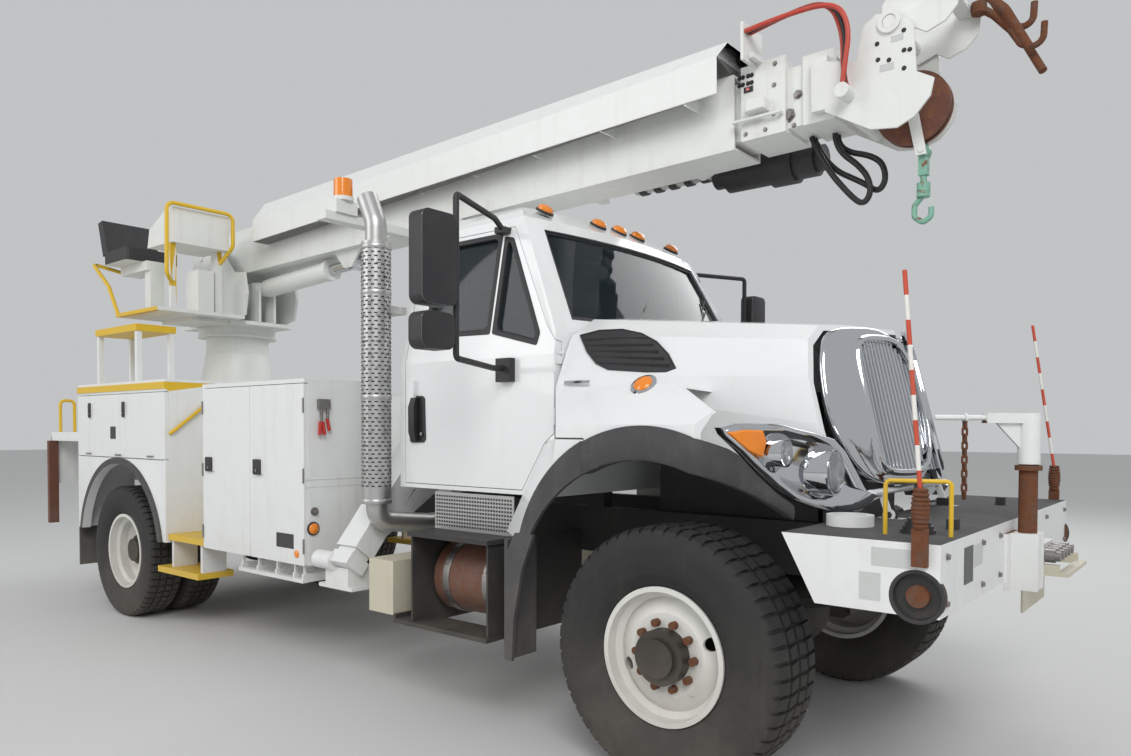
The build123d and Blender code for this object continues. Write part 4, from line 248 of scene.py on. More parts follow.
def place_group(tree, group, values):
    node = tree.nodes.new("ShaderNodeGroup")
    node.node_tree = group
    set_inputs(node, values)
    return node


def finish(name, colour, rough, metallic=0.0, dust=0.3, dust_height=1.2, streaks=0.12, blotches=0.08, rust=0.0,
           rust_scale=14.0, grain=220.0, wave=8.0, bump=0.08, coat=0.0, dust_colour=(0.36, 0.31, 0.24, 1)):
    """A finish made of the shared groups, each placed with its own values."""
    material, tree, shader = new_material(name)
    weather = place_group(tree, WEATHER, {
        "Base": (*colour, 1), "Dust": dust_colour, "Dust Amount": dust, "Dust Height": dust_height,
        "Streak Amount": streaks, "Blotch Amount": blotches})
    surface = weather.outputs["Color"]
    dulled = math_node(tree, "MULTIPLY", weather.outputs["Dirt"], DIRT_ROUGHNESS)
    roughness = math_node(tree, "ADD", rough, dulled, clamp=True)
    if rust > 0:
        bloom = place_group(tree, RUST, {"Spot Scale": rust_scale, "Amount": rust})
        tree.links.new(surface, bloom.inputs["Base"])
        surface = bloom.outputs["Color"]
        dulled = math_node(tree, "MULTIPLY", bloom.outputs["Mask"], RUST_ROUGHNESS)
        roughness = math_node(tree, "ADD", roughness, dulled, clamp=True)
    tree.links.new(surface, shader.inputs["Base Color"])
    tree.links.new(roughness, shader.inputs["Roughness"])
    set_inputs(shader, {"Metallic": metallic, "Coat Weight": coat})
    relief = place_group(tree, RELIEF, {"Grain Scale": grain, "Wave Scale": wave})
    bump_node = tree.nodes.new("ShaderNodeBump")
    set_inputs(bump_node, {"Strength": bump, "Distance": BUMP_DEPTH})
    tree.links.new(relief.outputs["Height"], bump_node.inputs["Height"])
    tree.links.new(bump_node.outputs["Normal"], shader.inputs["Normal"])
    return material


def glass(name, colour, transmission, alpha=1.0):
    material, _, shader = new_material(name)
    set_inputs(shader, {"Base Color": (*colour, 1), "Roughness": GLASS_ROUGHNESS, "Transmission Weight": transmission,
                        "Alpha": alpha, "IOR": GLASS_IOR})
    return material


PAINT = finish("white truck paint", (0.80, 0.81, 0.81), 0.22, coat=0.5, dust=0.25, streaks=0.05, blotches=0.03,
               bump=0.02, wave=3.0)
BODY_PAINT = finish("white body paint", (0.77, 0.78, 0.77), 0.38, dust=0.45, streaks=0.2, blotches=0.1, rust=0.12,
                    bump=0.05)
BOOM_PAINT = finish("chalky boom paint", (0.74, 0.75, 0.72), 0.45, dust=0.0, streaks=0.22, blotches=0.14, rust=0.16,
                    bump=0.06)
COVER_GEL = finish("fibreglass cover", (0.78, 0.79, 0.77), 0.35, dust=0.0, streaks=0.16, blotches=0.08, bump=0.04)
BLACK_PLASTIC = finish("black moulded plastic", (0.022, 0.022, 0.024), 0.5, dust=0.35, dust_height=1.6,
                       blotches=0.12, grain=500.0, bump=0.25, dust_colour=(0.16, 0.14, 0.12, 1))
FLARE_RUBBER = finish("weathered flare rubber", (0.045, 0.045, 0.048), 0.62, dust=0.5, dust_height=1.8, blotches=0.25,
                      streaks=0.2, grain=350.0, bump=0.3, dust_colour=(0.20, 0.18, 0.16, 1))
FRAME_BLACK = finish("chassis black", (0.025, 0.025, 0.027), 0.6, dust=0.5, dust_height=1.5, rust=0.35, bump=0.3,
                     dust_colour=(0.14, 0.12, 0.09, 1))
YELLOW = finish("safety yellow paint", (0.72, 0.46, 0.02), 0.4, dust=0.3, rust=0.2, streaks=0.2, bump=0.08)
RUST_BROWN = finish("rust-brown tank paint", (0.13, 0.045, 0.028), 0.55, dust=0.45, rust=0.6, rust_scale=20.0,
                    bump=0.35)
CHROME = finish("chrome plate", (0.62, 0.63, 0.65), 0.06, metallic=1.0, dust=0.2, streaks=0.03, blotches=0.02,
                bump=0.01)
ALUMINIUM = finish("dull aluminium", (0.50, 0.50, 0.49), 0.38, metallic=0.85, dust=0.3, blotches=0.2, bump=0.15)
STEEL = finish("worn steel", (0.30, 0.29, 0.28), 0.42, metallic=0.9, dust=0.2, rust=0.5, rust_scale=30.0, bump=0.3)
IRON = finish("rusty cast iron", (0.14, 0.07, 0.045), 0.75, metallic=0.3, dust=0.2, rust=0.8, rust_scale=25.0,
              bump=0.5)
DARK_HUB = finish("greasy hub", (0.035, 0.03, 0.028), 0.5, metallic=0.4, dust=0.3, rust=0.35, rust_scale=40.0,
                  bump=0.4)
ENGINE_GREY = finish("engine casting", (0.05, 0.05, 0.055), 0.6, dust=0.4, rust=0.4, bump=0.4)
RIM_PAINT = finish("white rim paint", (0.70, 0.69, 0.65), 0.4, dust=0.5, dust_height=1.0, rust=0.3, streaks=0.1,
                   bump=0.08)
TYRE = finish("tyre rubber", (0.018, 0.018, 0.018), 0.72, dust=0.4, dust_height=0.9, grain=260.0, bump=0.35,
              dust_colour=(0.17, 0.15, 0.12, 1))
HOSE = finish("hose rubber", (0.012, 0.012, 0.013), 0.45, dust=0.0, blotches=0.2, grain=600.0, bump=0.3,
              dust_colour=(0.12, 0.11, 0.1, 1))
RED_HOSE = finish("red hose cover", (0.50, 0.05, 0.03), 0.45, dust=0.0, blotches=0.2, grain=600.0, bump=0.2)
TRIM = finish("cab trim plastic", (0.10, 0.095, 0.09), 0.7, dust=0.0, grain=400.0, bump=0.3)
GRIP_DECK = finish("anti-slip deck", (0.06, 0.062, 0.065), 0.85, dust=0.25, dust_height=2.0, blotches=0.3,
                   grain=900.0, bump=0.7, dust_colour=(0.22, 0.20, 0.18, 1))
CREAM = finish("cream box paint", (0.60, 0.56, 0.44), 0.45, dust=0.4, rust=0.2, streaks=0.25, bump=0.08)
HOOK_GREEN = finish("worn green hook paint", (0.20, 0.42, 0.32), 0.45, dust=0.0, blotches=0.2, rust=0.55,
                    rust_scale=22.0, bump=0.2)
ROD_WHITE = finish("rod white", (0.78, 0.76, 0.72), 0.5, dust=0.0, blotches=0.15)
ROD_RED = finish("rod red", (0.55, 0.07, 0.03), 0.45, dust=0.0, blotches=0.1)
RED_GRIP = finish("red grip", (0.5, 0.03, 0.02), 0.4, dust=0.1)
BLANK_LABEL = finish("blank label", (0.55, 0.56, 0.55), 0.35, dust=0.2, blotches=0.2)
DARK_PLATE = finish("blank dark plate", (0.04, 0.04, 0.045), 0.35, dust=0.2)
BLACK_PLATE = finish("blank black plate", (0.03, 0.03, 0.035), 0.4, dust=0.2)
AMBER = finish("amber lens", (0.85, 0.24, 0.01), 0.15, dust=0.0, blotches=0.05, coat=0.6, bump=0.02)
RED_LENS = finish("red lens", (0.45, 0.01, 0.01), 0.15, dust=0.1, coat=0.6, bump=0.02)
WINDOW = glass("tinted window", (0.018, 0.026, 0.030), 0.0, 0.72)
LAMP_GLASS = glass("lamp glass", (0.85, 0.87, 0.88), 0.85)

NODE_FINISH = {
    "frame": FRAME_BLACK, "axles": FRAME_BLACK, "engine": ENGINE_GREY, "cab": PAINT, "cab_interior": TRIM,
    "cab_glass": WINDOW, "side_tanks": RUST_BROWN, "exhaust_stack": ALUMINIUM, "front_cabinets": BODY_PAINT,
    "pedestal": BOOM_PAINT, "outrigger_housing": BODY_PAINT, "hood": PAINT, "grille": CHROME, "headlights": CHROME,
    "fender_flares": FLARE_RUBBER, "turret": BOOM_PAINT, "boom": BOOM_PAINT, "boom_cover": COVER_GEL,
    "tip_hoses": HOSE, "pole_guide": BOOM_PAINT, "tongs": IRON, "load_hook": HOOK_GREEN, "lift_barrel": BOOM_PAINT,
    "lift_rod": CHROME,
}
PAIR_FINISH = {
    "knuckle": FRAME_BLACK, "front_tyre": TYRE, "rear_tyres": TYRE, "door": PAINT, "door_glass": WINDOW,
    "cabinet_door_front": BODY_PAINT, "cabinet_door_rear": BODY_PAINT, "box_door": BODY_PAINT,
    "outrigger": BODY_PAINT,
}
for name, material in PAIR_FINISH.items():
    for side, _ in SIDES:
        NODE_FINISH[f"{name}_{side}"] = material
for name, material in NODE_FINISH.items():
    nodes[name].data.materials.clear()
    nodes[name].data.materials.append(material)


def regions(name, *rules):
    """Gives each face of a CAD node the finish of the first rule that the face's middle meets."""
    mesh = nodes[name].data
    mesh.materials.clear()
    for material, _ in rules:
        mesh.materials.append(material)
    for face in mesh.polygons:
        x, y, z = face.center * 1000
        x -= TRUCK_SHIFT
        for index, (_, test) in enumerate(rules):
            if test(x, y, z, face.normal):
                face.material_index = index
                break


def always(x, y, z, normal):
    return True


# Meshes for what the CAD leaves to this script, drawn in the same millimetres
LEAST_RADIUS = 0.05


def full_turn(sides):
    return [2 * math.pi * n / sides for n in range(sides)]


class Form:
    """Faces gathered from simple forms, each with its finish."""

    def __init__(self, material):
        self.points = []
        self.faces = []
        self.indices = []
        self.finishes = [material]
        self.current = 0

    def use(self, material):
        if material not in self.finishes:
            self.finishes.append(material)
        self.current = self.finishes.index(material)
        return self

    def add(self, points, faces):
        base = len(self.points)
        self.points += [tuple(point) for point in points]
        self.faces += [tuple(base + n for n in face) for face in faces]
        self.indices += [self.current] * len(faces)

    def box(self, low, high):
        points = [(x, y, z) for x in (low[0], high[0]) for y in (low[1], high[1]) for z in (low[2], high[2])]
        self.add(points, [(0, 1, 3, 2), (4, 6, 7, 5), (0, 4, 5, 1), (2, 3, 7, 6), (0, 2, 6, 4), (1, 5, 7, 3)])

    def rings(self, loops, ends=False):
        """A skin over loops that have equally many points."""
        count = len(loops[0])
        points = [point for loop in loops for point in loop]
        faces = []
        for row in range(len(loops) - 1):
            for n in range(count):
                a, b = row * count + n, row * count + (n + 1) % count
                faces.append((a, b, b + count, a + count))
        if ends:
            faces.append(tuple(range(count)))
            faces.append(tuple(range(len(points) - 1, len(points) - 1 - count, -1)))
        self.add(points, faces)

    def turned(self, centre, axis, profile, sides):
        """A turned form: the profile lists places along the axis and radii."""
        centre, axis = Vector(centre), Vector(axis).normalized()
        across = axis.orthogonal().normalized()
        upright = axis.cross(across)
        loops = []
        for along, radius in profile:
            middle, radius = centre + axis * along, max(radius, LEAST_RADIUS)
            loops.append([middle + (across * math.cos(turn) + upright * math.sin(turn)) * radius
                          for turn in full_turn(sides)])
        self.rings(loops, ends=True)

    def tube(self, route, radius, sides=12):
        """A round bar along straight runs, with mitred corners."""
        route = [Vector(point) for point in route]
        loops = []
        across = None
        for n, place in enumerate(route):
            before = (place - route[n - 1]).normalized() if n else None
            after = (route[n + 1] - place).normalized() if n < len(route) - 1 else None
            along = (before or after) if before is None or after is None else (before + after).normalized()
            run = after if after is not None else before
            across = run.orthogonal().normalized() if across is None else (across - run * across.dot(run)).normalized()
            upright = run.cross(across).normalized()
            loop = []
            for turn in full_turn(sides):
                point = place + (across * math.cos(turn) + upright * math.sin(turn)) * radius
                point += run * ((place - point).dot(along) / run.dot(along))
                loop.append(point)
            loops.append(loop)
        self.rings(loops, ends=True)

    def mirror(self):
        """Adds the same on the other side of the truck."""
        base = len(self.points)
        self.points += [(x, -y, z) for x, y, z in self.points]
        self.faces += [tuple(base + n for n in face) for face in self.faces]
        self.indices += self.indices


def place_piece(name, mesh, body):
    piece = bpy.data.objects.new(name, mesh)
    bpy.context.scene.collection.objects.link(piece)
    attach(piece, body)
    return piece


SHARP_ANGLE = 30


def round_edges(piece, width, segments):
    bevel = piece.modifiers.new("soft edges", "BEVEL")
    bevel.width = width / 1000
    bevel.segments = segments
    bevel.limit_method = "ANGLE"
    bevel.angle_limit = math.radians(SHARP_ANGLE)


def make_piece(form, name, body, smooth=35):
    mesh = bpy.data.meshes.new(name)
    mesh.from_pydata([at(*point) for point in form.points], [], form.faces)
    for material in form.finishes:
        mesh.materials.append(material)
    for face, index in zip(mesh.polygons, form.indices):
        face.material_index = index
    work = bmesh.new()
    work.from_mesh(mesh)
    bmesh.ops.recalc_face_normals(work, faces=work.faces)
    work.to_mesh(mesh)
    work.free()
    mesh.shade_smooth()
    mesh.set_sharp_from_angle(angle=math.radians(smooth))
    return place_piece(name, mesh, body)


RIM_ROUNDING = 0.018
MIRROR_HEAD_SIDE = 1.455
MERGE_DISTANCE = 2e-5
FLAT_ANGLE = 0.6


def softened(name, width, segments=2, cuts=(), rims=()):
    """A merged copy of a CAD node with rounded edges, which stands for it.

    A cut is a point and an outward direction. Rims are the places along the truck of a mirror's faces."""
    work = bmesh.new()
    work.from_mesh(nodes[name].data)
    bmesh.ops.remove_doubles(work, verts=work.verts, dist=MERGE_DISTANCE)
    for point, outward in cuts:
        found = bmesh.ops.bisect_plane(work, geom=work.verts[:] + work.edges[:] + work.faces[:], plane_co=at(*point),
                                       plane_no=Vector(outward), clear_outer=True)
        rim = [item for item in found["geom_cut"] if isinstance(item, bmesh.types.BMEdge)]
        bmesh.ops.holes_fill(work, edges=rim, sides=0)
    if rims:
        faces_x = [at(x, 0, 0).x for x in rims]

        def on_rim(vertex):
            return abs(vertex.co.y) > MIRROR_HEAD_SIDE and any(abs(vertex.co.x - x) < 0.001 for x in faces_x)

        chosen = [edge for edge in work.edges if edge.is_manifold and edge.calc_face_angle() > 1.0
                  and all(on_rim(vertex) for vertex in edge.verts)]
        bmesh.ops.bevel(work, geom=chosen, offset=RIM_ROUNDING, offset_type="OFFSET", segments=3, profile=0.5,
                        affect="EDGES", clamp_overlap=True)
    bmesh.ops.dissolve_limit(work, angle_limit=math.radians(FLAT_ANGLE), verts=work.verts, edges=work.edges,
                             delimit={"MATERIAL"})
    mesh = bpy.data.meshes.new(name + "_skin")
    work.to_mesh(mesh)
    work.free()
    for material in nodes[name].data.materials:
        mesh.materials.append(material)
    mesh.shade_smooth()
    mesh.set_sharp_from_angle(angle=math.radians(SHARP_ANGLE))
    piece = place_piece(name + "_skin", mesh, body_of(nodes[name])[0])
    round_edges(piece, width, segments)
    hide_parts(name)


# Finishes by region on CAD nodes that hold more than one colour
def near(value, middle, reach):
    return abs(value - middle) < reach


regions(
    "bumper_gear",
    (BLACK_PLASTIC, lambda x, y, z, n: near(x, 964, 67) and near(y, -895, 66) and z > DECK_TOP),
    (YELLOW, lambda x, y, z, n: 862 < x < 1110 and -1028 < y < -915 and z > DECK_TOP),
    (BODY_PAINT, lambda x, y, z, n: x < 790 and y < 0),
    (IRON, lambda x, y, z, n: 1155 < abs(y) < 1196 and math.hypot(x - COUPLER_X, z - COUPLER_Z) < 39),
    (IRON, lambda x, y, z, n: abs(y) > 1150 or (z > 1089 and x > 1130)),
    (CREAM, lambda x, y, z, n: x > 1120 and y > 50 and z < 929),
    (STEEL, lambda x, y, z, n: x > 1188 and y > 50),
    (BODY_PAINT, lambda x, y, z, n: x > 1120),
    (FRAME_BLACK, always))
regions(
    "cab_steps",
    (CREAM, lambda x, y, z, n: x < -1719 and z > 492),
    (ALUMINIUM, lambda x, y, z, n: near(abs(y), 986, 6) and z > 966 and x < -995),
    (FLARE_RUBBER, lambda x, y, z, n: x > -900),
    (FRAME_BLACK, always))
regions(
    "rear_cabinets",
    (FLARE_RUBBER, lambda x, y, z, n: abs(y) > 1219.5 and z < 1400),
    (YELLOW, lambda x, y, z, n: y < 0 and z > 1811),
    (BODY_PAINT, always))
regions(
    "bed",
    (BODY_PAINT, lambda x, y, z, n: -4470 < x < -3760 and 483 < z < 684 and abs(y) > 900),
    (YELLOW, lambda x, y, z, n: -4470 < x < -3760 and z < 735 and abs(y) > 900),
    (RED_LENS, lambda x, y, z, n: x < -6714 and 1050 < z < 1170 and abs(y) > 930),
    (RUST_BROWN, lambda x, y, z, n: x < -6650 and abs(y) > 1110 and z < 1400),
    (FLARE_RUBBER, lambda x, y, z, n: -5960 < x < -5935 and z < 800),
    (YELLOW, lambda x, y, z, n: (x < -6550 and z > 1480) or (x < -6400 and z < 572)),
    (BODY_PAINT, always))
regions(
    "step_frame",
    (YELLOW, lambda x, y, z, n: z > 2290),
    (BODY_PAINT, always))
regions(
    "operator_station",
    (BLACK_PLASTIC, lambda x, y, z, n: -6215 < x < -5600 and z > 2981 and y > -975 and not (x < -6150 and z < 3010)),
    (YELLOW, lambda x, y, z, n: x > -4848 or (y < -972 and z > 2470) or (x < -6150 and z < 3015)
     or (x > -4925 and 2675 < z < 2790) or (x > -4975 and 2905 < z < 3025)),
    (BOOM_PAINT, always))
regions(
    "boom_rest",
    (AMBER, lambda x, y, z, n: z > 2905 and near(x, -2305, 110) and y < -900),
    (BOOM_PAINT, always))
regions(
    "boom_tip",
    (RUST_BROWN, lambda x, y, z, n: abs(y) < 29 and x > 540 and z < 3250),
    (BOOM_PAINT, always))
regions(
    "digger",
    (BOOM_PAINT, lambda x, y, z, n: y < 272 and -655 < x < -535),
    (ALUMINIUM, lambda x, y, z, n: x < -560 and math.hypot(y - 300, z - 3056) < 49),
    (BLACK_PLASTIC, always))
regions(
    "swing_arm",
    (IRON, lambda x, y, z, n: math.hypot(x - 1190, y + 156) > 175 and z < 1560),
    (BODY_PAINT, always))
regions(
    "front_bumper",
    (GRIP_DECK, lambda x, y, z, n: z > DECK_TOP + 0.5 and n.z > 0.9),
    (BODY_PAINT, always))
HUB_R, NUTS_IN, NUTS_OUT = 119, 124, 162
FRONT_NUTS_SIDE, REAR_NUTS_SIDE = 1109.5, 1024
for side, _ in SIDES:
    regions(
        "front_wheel_" + side,
        (DARK_HUB, lambda x, y, z, n: math.hypot(x, z - FRONT_HUB_Z) < HUB_R and abs(y) > FRONT_NUTS_SIDE),
        (IRON, lambda x, y, z, n: NUTS_IN < math.hypot(x, z - FRONT_HUB_Z) < NUTS_OUT and abs(y) > FRONT_NUTS_SIDE),
        (RIM_PAINT, always))
    regions(
        "rear_wheels_" + side,
        (DARK_HUB, lambda x, y, z, n: math.hypot(x - REAR_HUB_X, z - REAR_HUB_Z) < HUB_R and abs(y) > 900),
        (IRON, lambda x, y, z, n: NUTS_IN < math.hypot(x - REAR_HUB_X, z - REAR_HUB_Z) < NUTS_OUT
         and abs(y) > REAR_NUTS_SIDE and abs(n.y) < 0.98),
        (RIM_PAINT, always))
    regions(
        "mirror_" + side,
        (CHROME, lambda x, y, z, n: n.x < -0.95 and abs(y) > 1400),
        (BLACK_PLASTIC, always))

for name, width in (("cab", 14), ("front_bumper", 5), ("front_cabinets", 4), ("rear_cabinets", 4), ("boom", 6),
                    ("boom_cover", 14), ("turret", 4), ("outrigger_housing", 4), ("pole_guide", 3), ("boom_tip", 3)):
    softened(name, width)
for side, _ in SIDES:
    softened("mirror_" + side, 2, rims=(-1010, -920, -1020, -930))

# The slanted plane of the right headlight: along it and out of it
LAMP_ALONG = Vector((0.60645, 0.79512, 0.0))
LAMP_OUT = Vector((0.79512, -0.60645, 0.0))
LAMP_START = (240, -1110)
softened("hood", 16, segments=3, cuts=[((*LAMP_START, 1400), LAMP_OUT),
                                       ((LAMP_START[0], -LAMP_START[1], 1400), (LAMP_OUT.x, -LAMP_OUT.y, 0.0))])


# Chrome surround with its bars, on the two swept halves of the nose
NOSE_LEAN, NOSE_SWEEP = 0.26143, 0.316


def on_nose(y, z, out):
    outward = Vector((0.925, 0.292 if y >= 0 else -0.292, 0.242))
    place = Vector((617 + (1992 - z) * NOSE_LEAN - NOSE_SWEEP * abs(y), y, z))
    return place + outward * out


def blend_outline(first, second, share):
    return [(a[0] + (b[0] - a[0]) * share, a[1] + (b[1] - a[1]) * share) for a, b in zip(first, second)]


def make_surround():
    outer = [(0, 1286), (250, 1280), (470, 1282), (552, 1366), (632, 1532), (628, 1744), (572, 1905), (502, 1982),
             (280, 1998), (0, 2000)]
    ridge = [(10, 1322), (250, 1318), (408, 1322), (420, 1400), (418, 1532), (408, 1744), (398, 1870), (348, 1946),
             (200, 1950), (10, 1952)]
    opening = [(27, 1346), (250, 1344), (388, 1348), (394, 1410), (392, 1532), (384, 1744), (374, 1880), (334, 1922),
               (200, 1924), (27, 1924)]
    steps = [(outer, -36), (outer, -10), (blend_outline(outer, ridge, 0.1), 2), (blend_outline(outer, ridge, 0.5), 8),
             (blend_outline(outer, ridge, 0.85), 10), (blend_outline(outer, ridge, 0.97), 18), (ridge, 30),
             (blend_outline(ridge, opening, 0.6), 32), (opening, 22), (opening, -30)]
    shell = Form(CHROME)
    shell.rings([[on_nose(-y, z, out) for y, z in outline] for outline, out in steps])
    shell.mirror()
    piece = make_piece(shell, "nose_surround", "hood", smooth=60)
    curve = piece.modifiers.new("rounded", "SUBSURF")
    curve.levels = 2
    curve.render_levels = 2
    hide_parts("grille")


def make_grille_bars():
    inner, foot_reach, top_reach = 34, 384, 352
    bar_section = ((-9, -26), (-8, -4), (-4, 4), (4, 4), (8, -4), (9, -26))
    bars = Form(CHROME)
    count = 13
    for n in range(count):
        share = (n + 0.7) / (count + 0.4)
        foot, top = inner + (foot_reach - inner) * share, inner + (top_reach - inner) * share
        high = 1926 if share < 0.9 else 1905
        bars.rings([[on_nose(-(y + a), z, out) for a, out in bar_section]
                    for y, z in ((foot, 1340), (foot + (top - foot) * 0.5, 1640), (top, high))], ends=True)
    bars.use(BLACK_PLASTIC)
    backing = ((20, 1338), (396, 1338), (388, 1888), (340, 1930), (20, 1930))
    bars.rings([[on_nose(-y, z, -30) for y, z in backing]], ends=True)
    for n in range(29):
        z = 1350 + n * 20
        bars.rings([[on_nose(-y, z, -24), on_nose(-y, z + 5, -24), on_nose(-y, z + 5, -29)]
                    for y in (22, 392 if z < 1850 else 355)], ends=True)
    bars.mirror()
    middle_section = ((-11, -8), (-8, 12), (8, 12), (11, -8))
    bars.use(CHROME).rings([[on_nose(y, z, out) for y, out in middle_section] for z in (1300, 1640, 1990)], ends=True)
    make_piece(bars, "grille_bars", "hood", smooth=40)


make_surround()
make_grille_bars()


# Headlight pods in the plane that cuts the fender's front corner
def on_lamp(s, z, out):
    return Vector((*LAMP_START, z)) + LAMP_ALONG * s + LAMP_OUT * out


def scaled(outline, middle, wide, high):
    """An outline drawn wider or narrower, higher or lower about a middle."""
    return [(middle[0] + (a - middle[0]) * wide, middle[1] + (b - middle[1]) * high) for a, b in outline]


def make_headlights():
    bezel = [(5, 1528), (77, 1545), (174, 1549), (278, 1545), (346, 1528), (424, 1512), (526, 1482), (578, 1431),
             (617, 1368), (689, 1252), (747, 1234), (652, 1176), (529, 1172), (440, 1193), (348, 1224), (257, 1284),
             (175, 1356), (91, 1438), (20, 1500)]
    form = Form(CHROME)
    steps = ((1.0, -45), (1.0, 2), (0.97, 14), (0.9, 22), (0.8, 20), (0.66, 2), (0.4, -6), (0.05, -8))
    form.rings([[on_lamp(s, z, out) for s, z in scaled(bezel, (345, 1378), share, share)] for share, out in steps],
               ends=True)
    head_place, turn_place = on_lamp(493, 1344, 0), on_lamp(278, 1425, 0)
    form.turned(head_place, AHEAD, [(-60, 60), (-60, 98), (34, 100), (42, 97), (42, 90), (30, 86), (8, 70), (-14, 40),
                                    (-20, 12)], 36)
    form.turned(turn_place, AHEAD, [(-60, 40), (-60, 60), (26, 62), (32, 60), (32, 55), (16, 50), (2, 36), (-6, 10)],
                32)
    form.turned(head_place, AHEAD, [(-18, 12), (12, 12), (16, 4)], 16)
    form.use(AMBER)
    form.turned(turn_place, AHEAD, [(-4, 14), (12, 14), (18, 5)], 16)
    marker = [(30, 1508), (110, 1520), (190, 1516), (205, 1470), (190, 1405), (130, 1430), (70, 1475)]
    form.rings([[on_lamp(s, z, out) for s, z in scaled(marker, (120, 1470), share, share)]
                for share, out in ((1, 12), (1, 24), (0.85, 31))], ends=True)
    form.mirror()
    piece = make_piece(form, "headlight_pods", "hood", smooth=40)
    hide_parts("headlights")
    lenses = Form(LAMP_GLASS)
    lenses.turned(head_place, AHEAD, [(38, 88), (46, 84), (56, 60), (61, 30), (62, 1)], 32)
    lenses.turned(turn_place, AHEAD, [(28, 54), (35, 50), (42, 30), (44, 1)], 28)
    lenses.mirror()
    make_piece(lenses, "lamp_glasses", "hood")


make_headlights()


# Rubber flares that follow the arch and then the slanted lamp plane
def make_flares():
    side_y, corner_x = -1190, 179.0
    slanted_edge = [(-170, 1620), (-60, 1540), (20, 1478), (91, 1416), (175, 1334), (257, 1262), (348, 1202),
                    (420, 1190)]

    def upper(x):
        round_z = 836 + math.sqrt(701 ** 2 - (x + 84) ** 2)
        s = (x - LAMP_START[0]) / LAMP_ALONG.x
        for (s0, z0), (s1, z1) in zip(slanted_edge, slanted_edge[1:]):
            if s0 <= s <= s1:
                return min(round_z, z0 + (z1 - z0) * (s - s0) / (s1 - s0))
        return round_z

    def surface(x, z, out):
        if x <= corner_x:
            return Vector((x, side_y - out, z))
        return Vector((x, side_y + (x - corner_x) * LAMP_ALONG.y / LAMP_ALONG.x, z)) + LAMP_OUT * out

    form = Form(FLARE_RUBBER)
    loops = []
    for n in range(34):
        x = -386 + n * 25.1
        low = 695 + math.sqrt(692 ** 2 - (x + 83) ** 2)
        high = max(upper(x), low + 44)
        section = ((low + 4, -70), (low, 0), (low, 18), (low + 7, 24), (low + (high - low) * 0.5, 27), (high - 12, 23),
                   (high - 3, 14), (high, -4), (high - 14, -8), (low + 14, -8), (low + 16, -70))
        loops.append([surface(x, z, out) for z, out in section])
    form.rings(loops, ends=True)
    form.mirror()
    piece = make_piece(form, "flare_lips", "hood", smooth=50)
    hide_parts("fender_flares")


make_flares()


# Copies of one item along a line or round an axis, made with Geometry Nodes
def build_copies_tree():
    tree = bpy.data.node_groups.new("even copies", "GeometryNodeTree")
    for label, kind in (("Item", "Geometry"), ("Count", "Int"), ("Step", "Vector"), ("Turn", "Vector"),
                        ("Finish", "Material")):
        tree.interface.new_socket(name=label, in_out="INPUT", socket_type="NodeSocket" + kind)
    tree.interface.new_socket(name="Copies", in_out="OUTPUT", socket_type="NodeSocketGeometry")
    group_in, group_out, line, index, scale, turn, spread, solid, paint = (tree.nodes.new(kind) for kind in (
        "NodeGroupInput", "NodeGroupOutput", "GeometryNodeMeshLine", "GeometryNodeInputIndex", "ShaderNodeVectorMath",
        "FunctionNodeEulerToRotation", "GeometryNodeInstanceOnPoints", "GeometryNodeRealizeInstances",
        "GeometryNodeSetMaterial"))
    line.mode = "OFFSET"
    scale.operation = "SCALE"
    given = group_in.outputs
    for source, target in (
            (given["Count"], line.inputs["Count"]), (given["Step"], line.inputs["Offset"]),
            (given["Turn"], scale.inputs[0]), (index.outputs[0], scale.inputs["Scale"]),
            (scale.outputs[0], turn.inputs[0]), (line.outputs[0], spread.inputs["Points"]),
            (given["Item"], spread.inputs["Instance"]), (turn.outputs[0], spread.inputs["Rotation"]),
            (spread.outputs[0], solid.inputs[0]), (solid.outputs[0], paint.inputs["Geometry"]),
            (given["Finish"], paint.inputs["Material"]), (paint.outputs[0], group_out.inputs[0])):
        tree.links.new(source, target)
    return tree


COPIES = build_copies_tree()


def copies_mesh(item, count, step, turn):
    """The mesh of an item's even copies. The item is drawn about the first place, in millimetres."""
    mesh = bpy.data.meshes.new("item")
    mesh.from_pydata([Vector(point) / 1000 for point in item.points], [], item.faces)
    holder = bpy.data.objects.new("item", mesh)
    bpy.context.scene.collection.objects.link(holder)
    modifier = holder.modifiers.new("copies", "NODES")
    modifier.node_group = COPIES
    values = {"Count": count, "Step": Vector(step) / 1000, "Turn": Vector(turn), "Finish": item.finishes[0]}
    for socket in COPIES.interface.items_tree:
        if socket.name in values:
            modifier[socket.identifier] = values[socket.name]
    bpy.context.view_layer.update()
    graph = bpy.context.evaluated_depsgraph_get()
    result = bpy.data.meshes.new_from_object(holder.evaluated_get(graph))
    bpy.data.objects.remove(holder)
    return result


def copies_form(form, item, count, centre, step=(0, 0, 0), turn=(0, 0, 0)):
    """Adds the copies of an item to a form, with the first one's origin at a centre."""
    mesh = copies_mesh(item, count, step, turn)
    form.use(item.finishes[0])
    points = [Vector(centre) + vertex.co * 1000 for vertex in mesh.vertices]
    form.add(points, [tuple(face.vertices) for face in mesh.polygons])
    bpy.data.meshes.remove(mesh)


# Tyres: rounded walls with raised rings, and a block tread
BEAD_R = 286.0
TYRE_SIDES, TREAD_BLOCKS, TREAD_DEPTH = 96, 54, 16


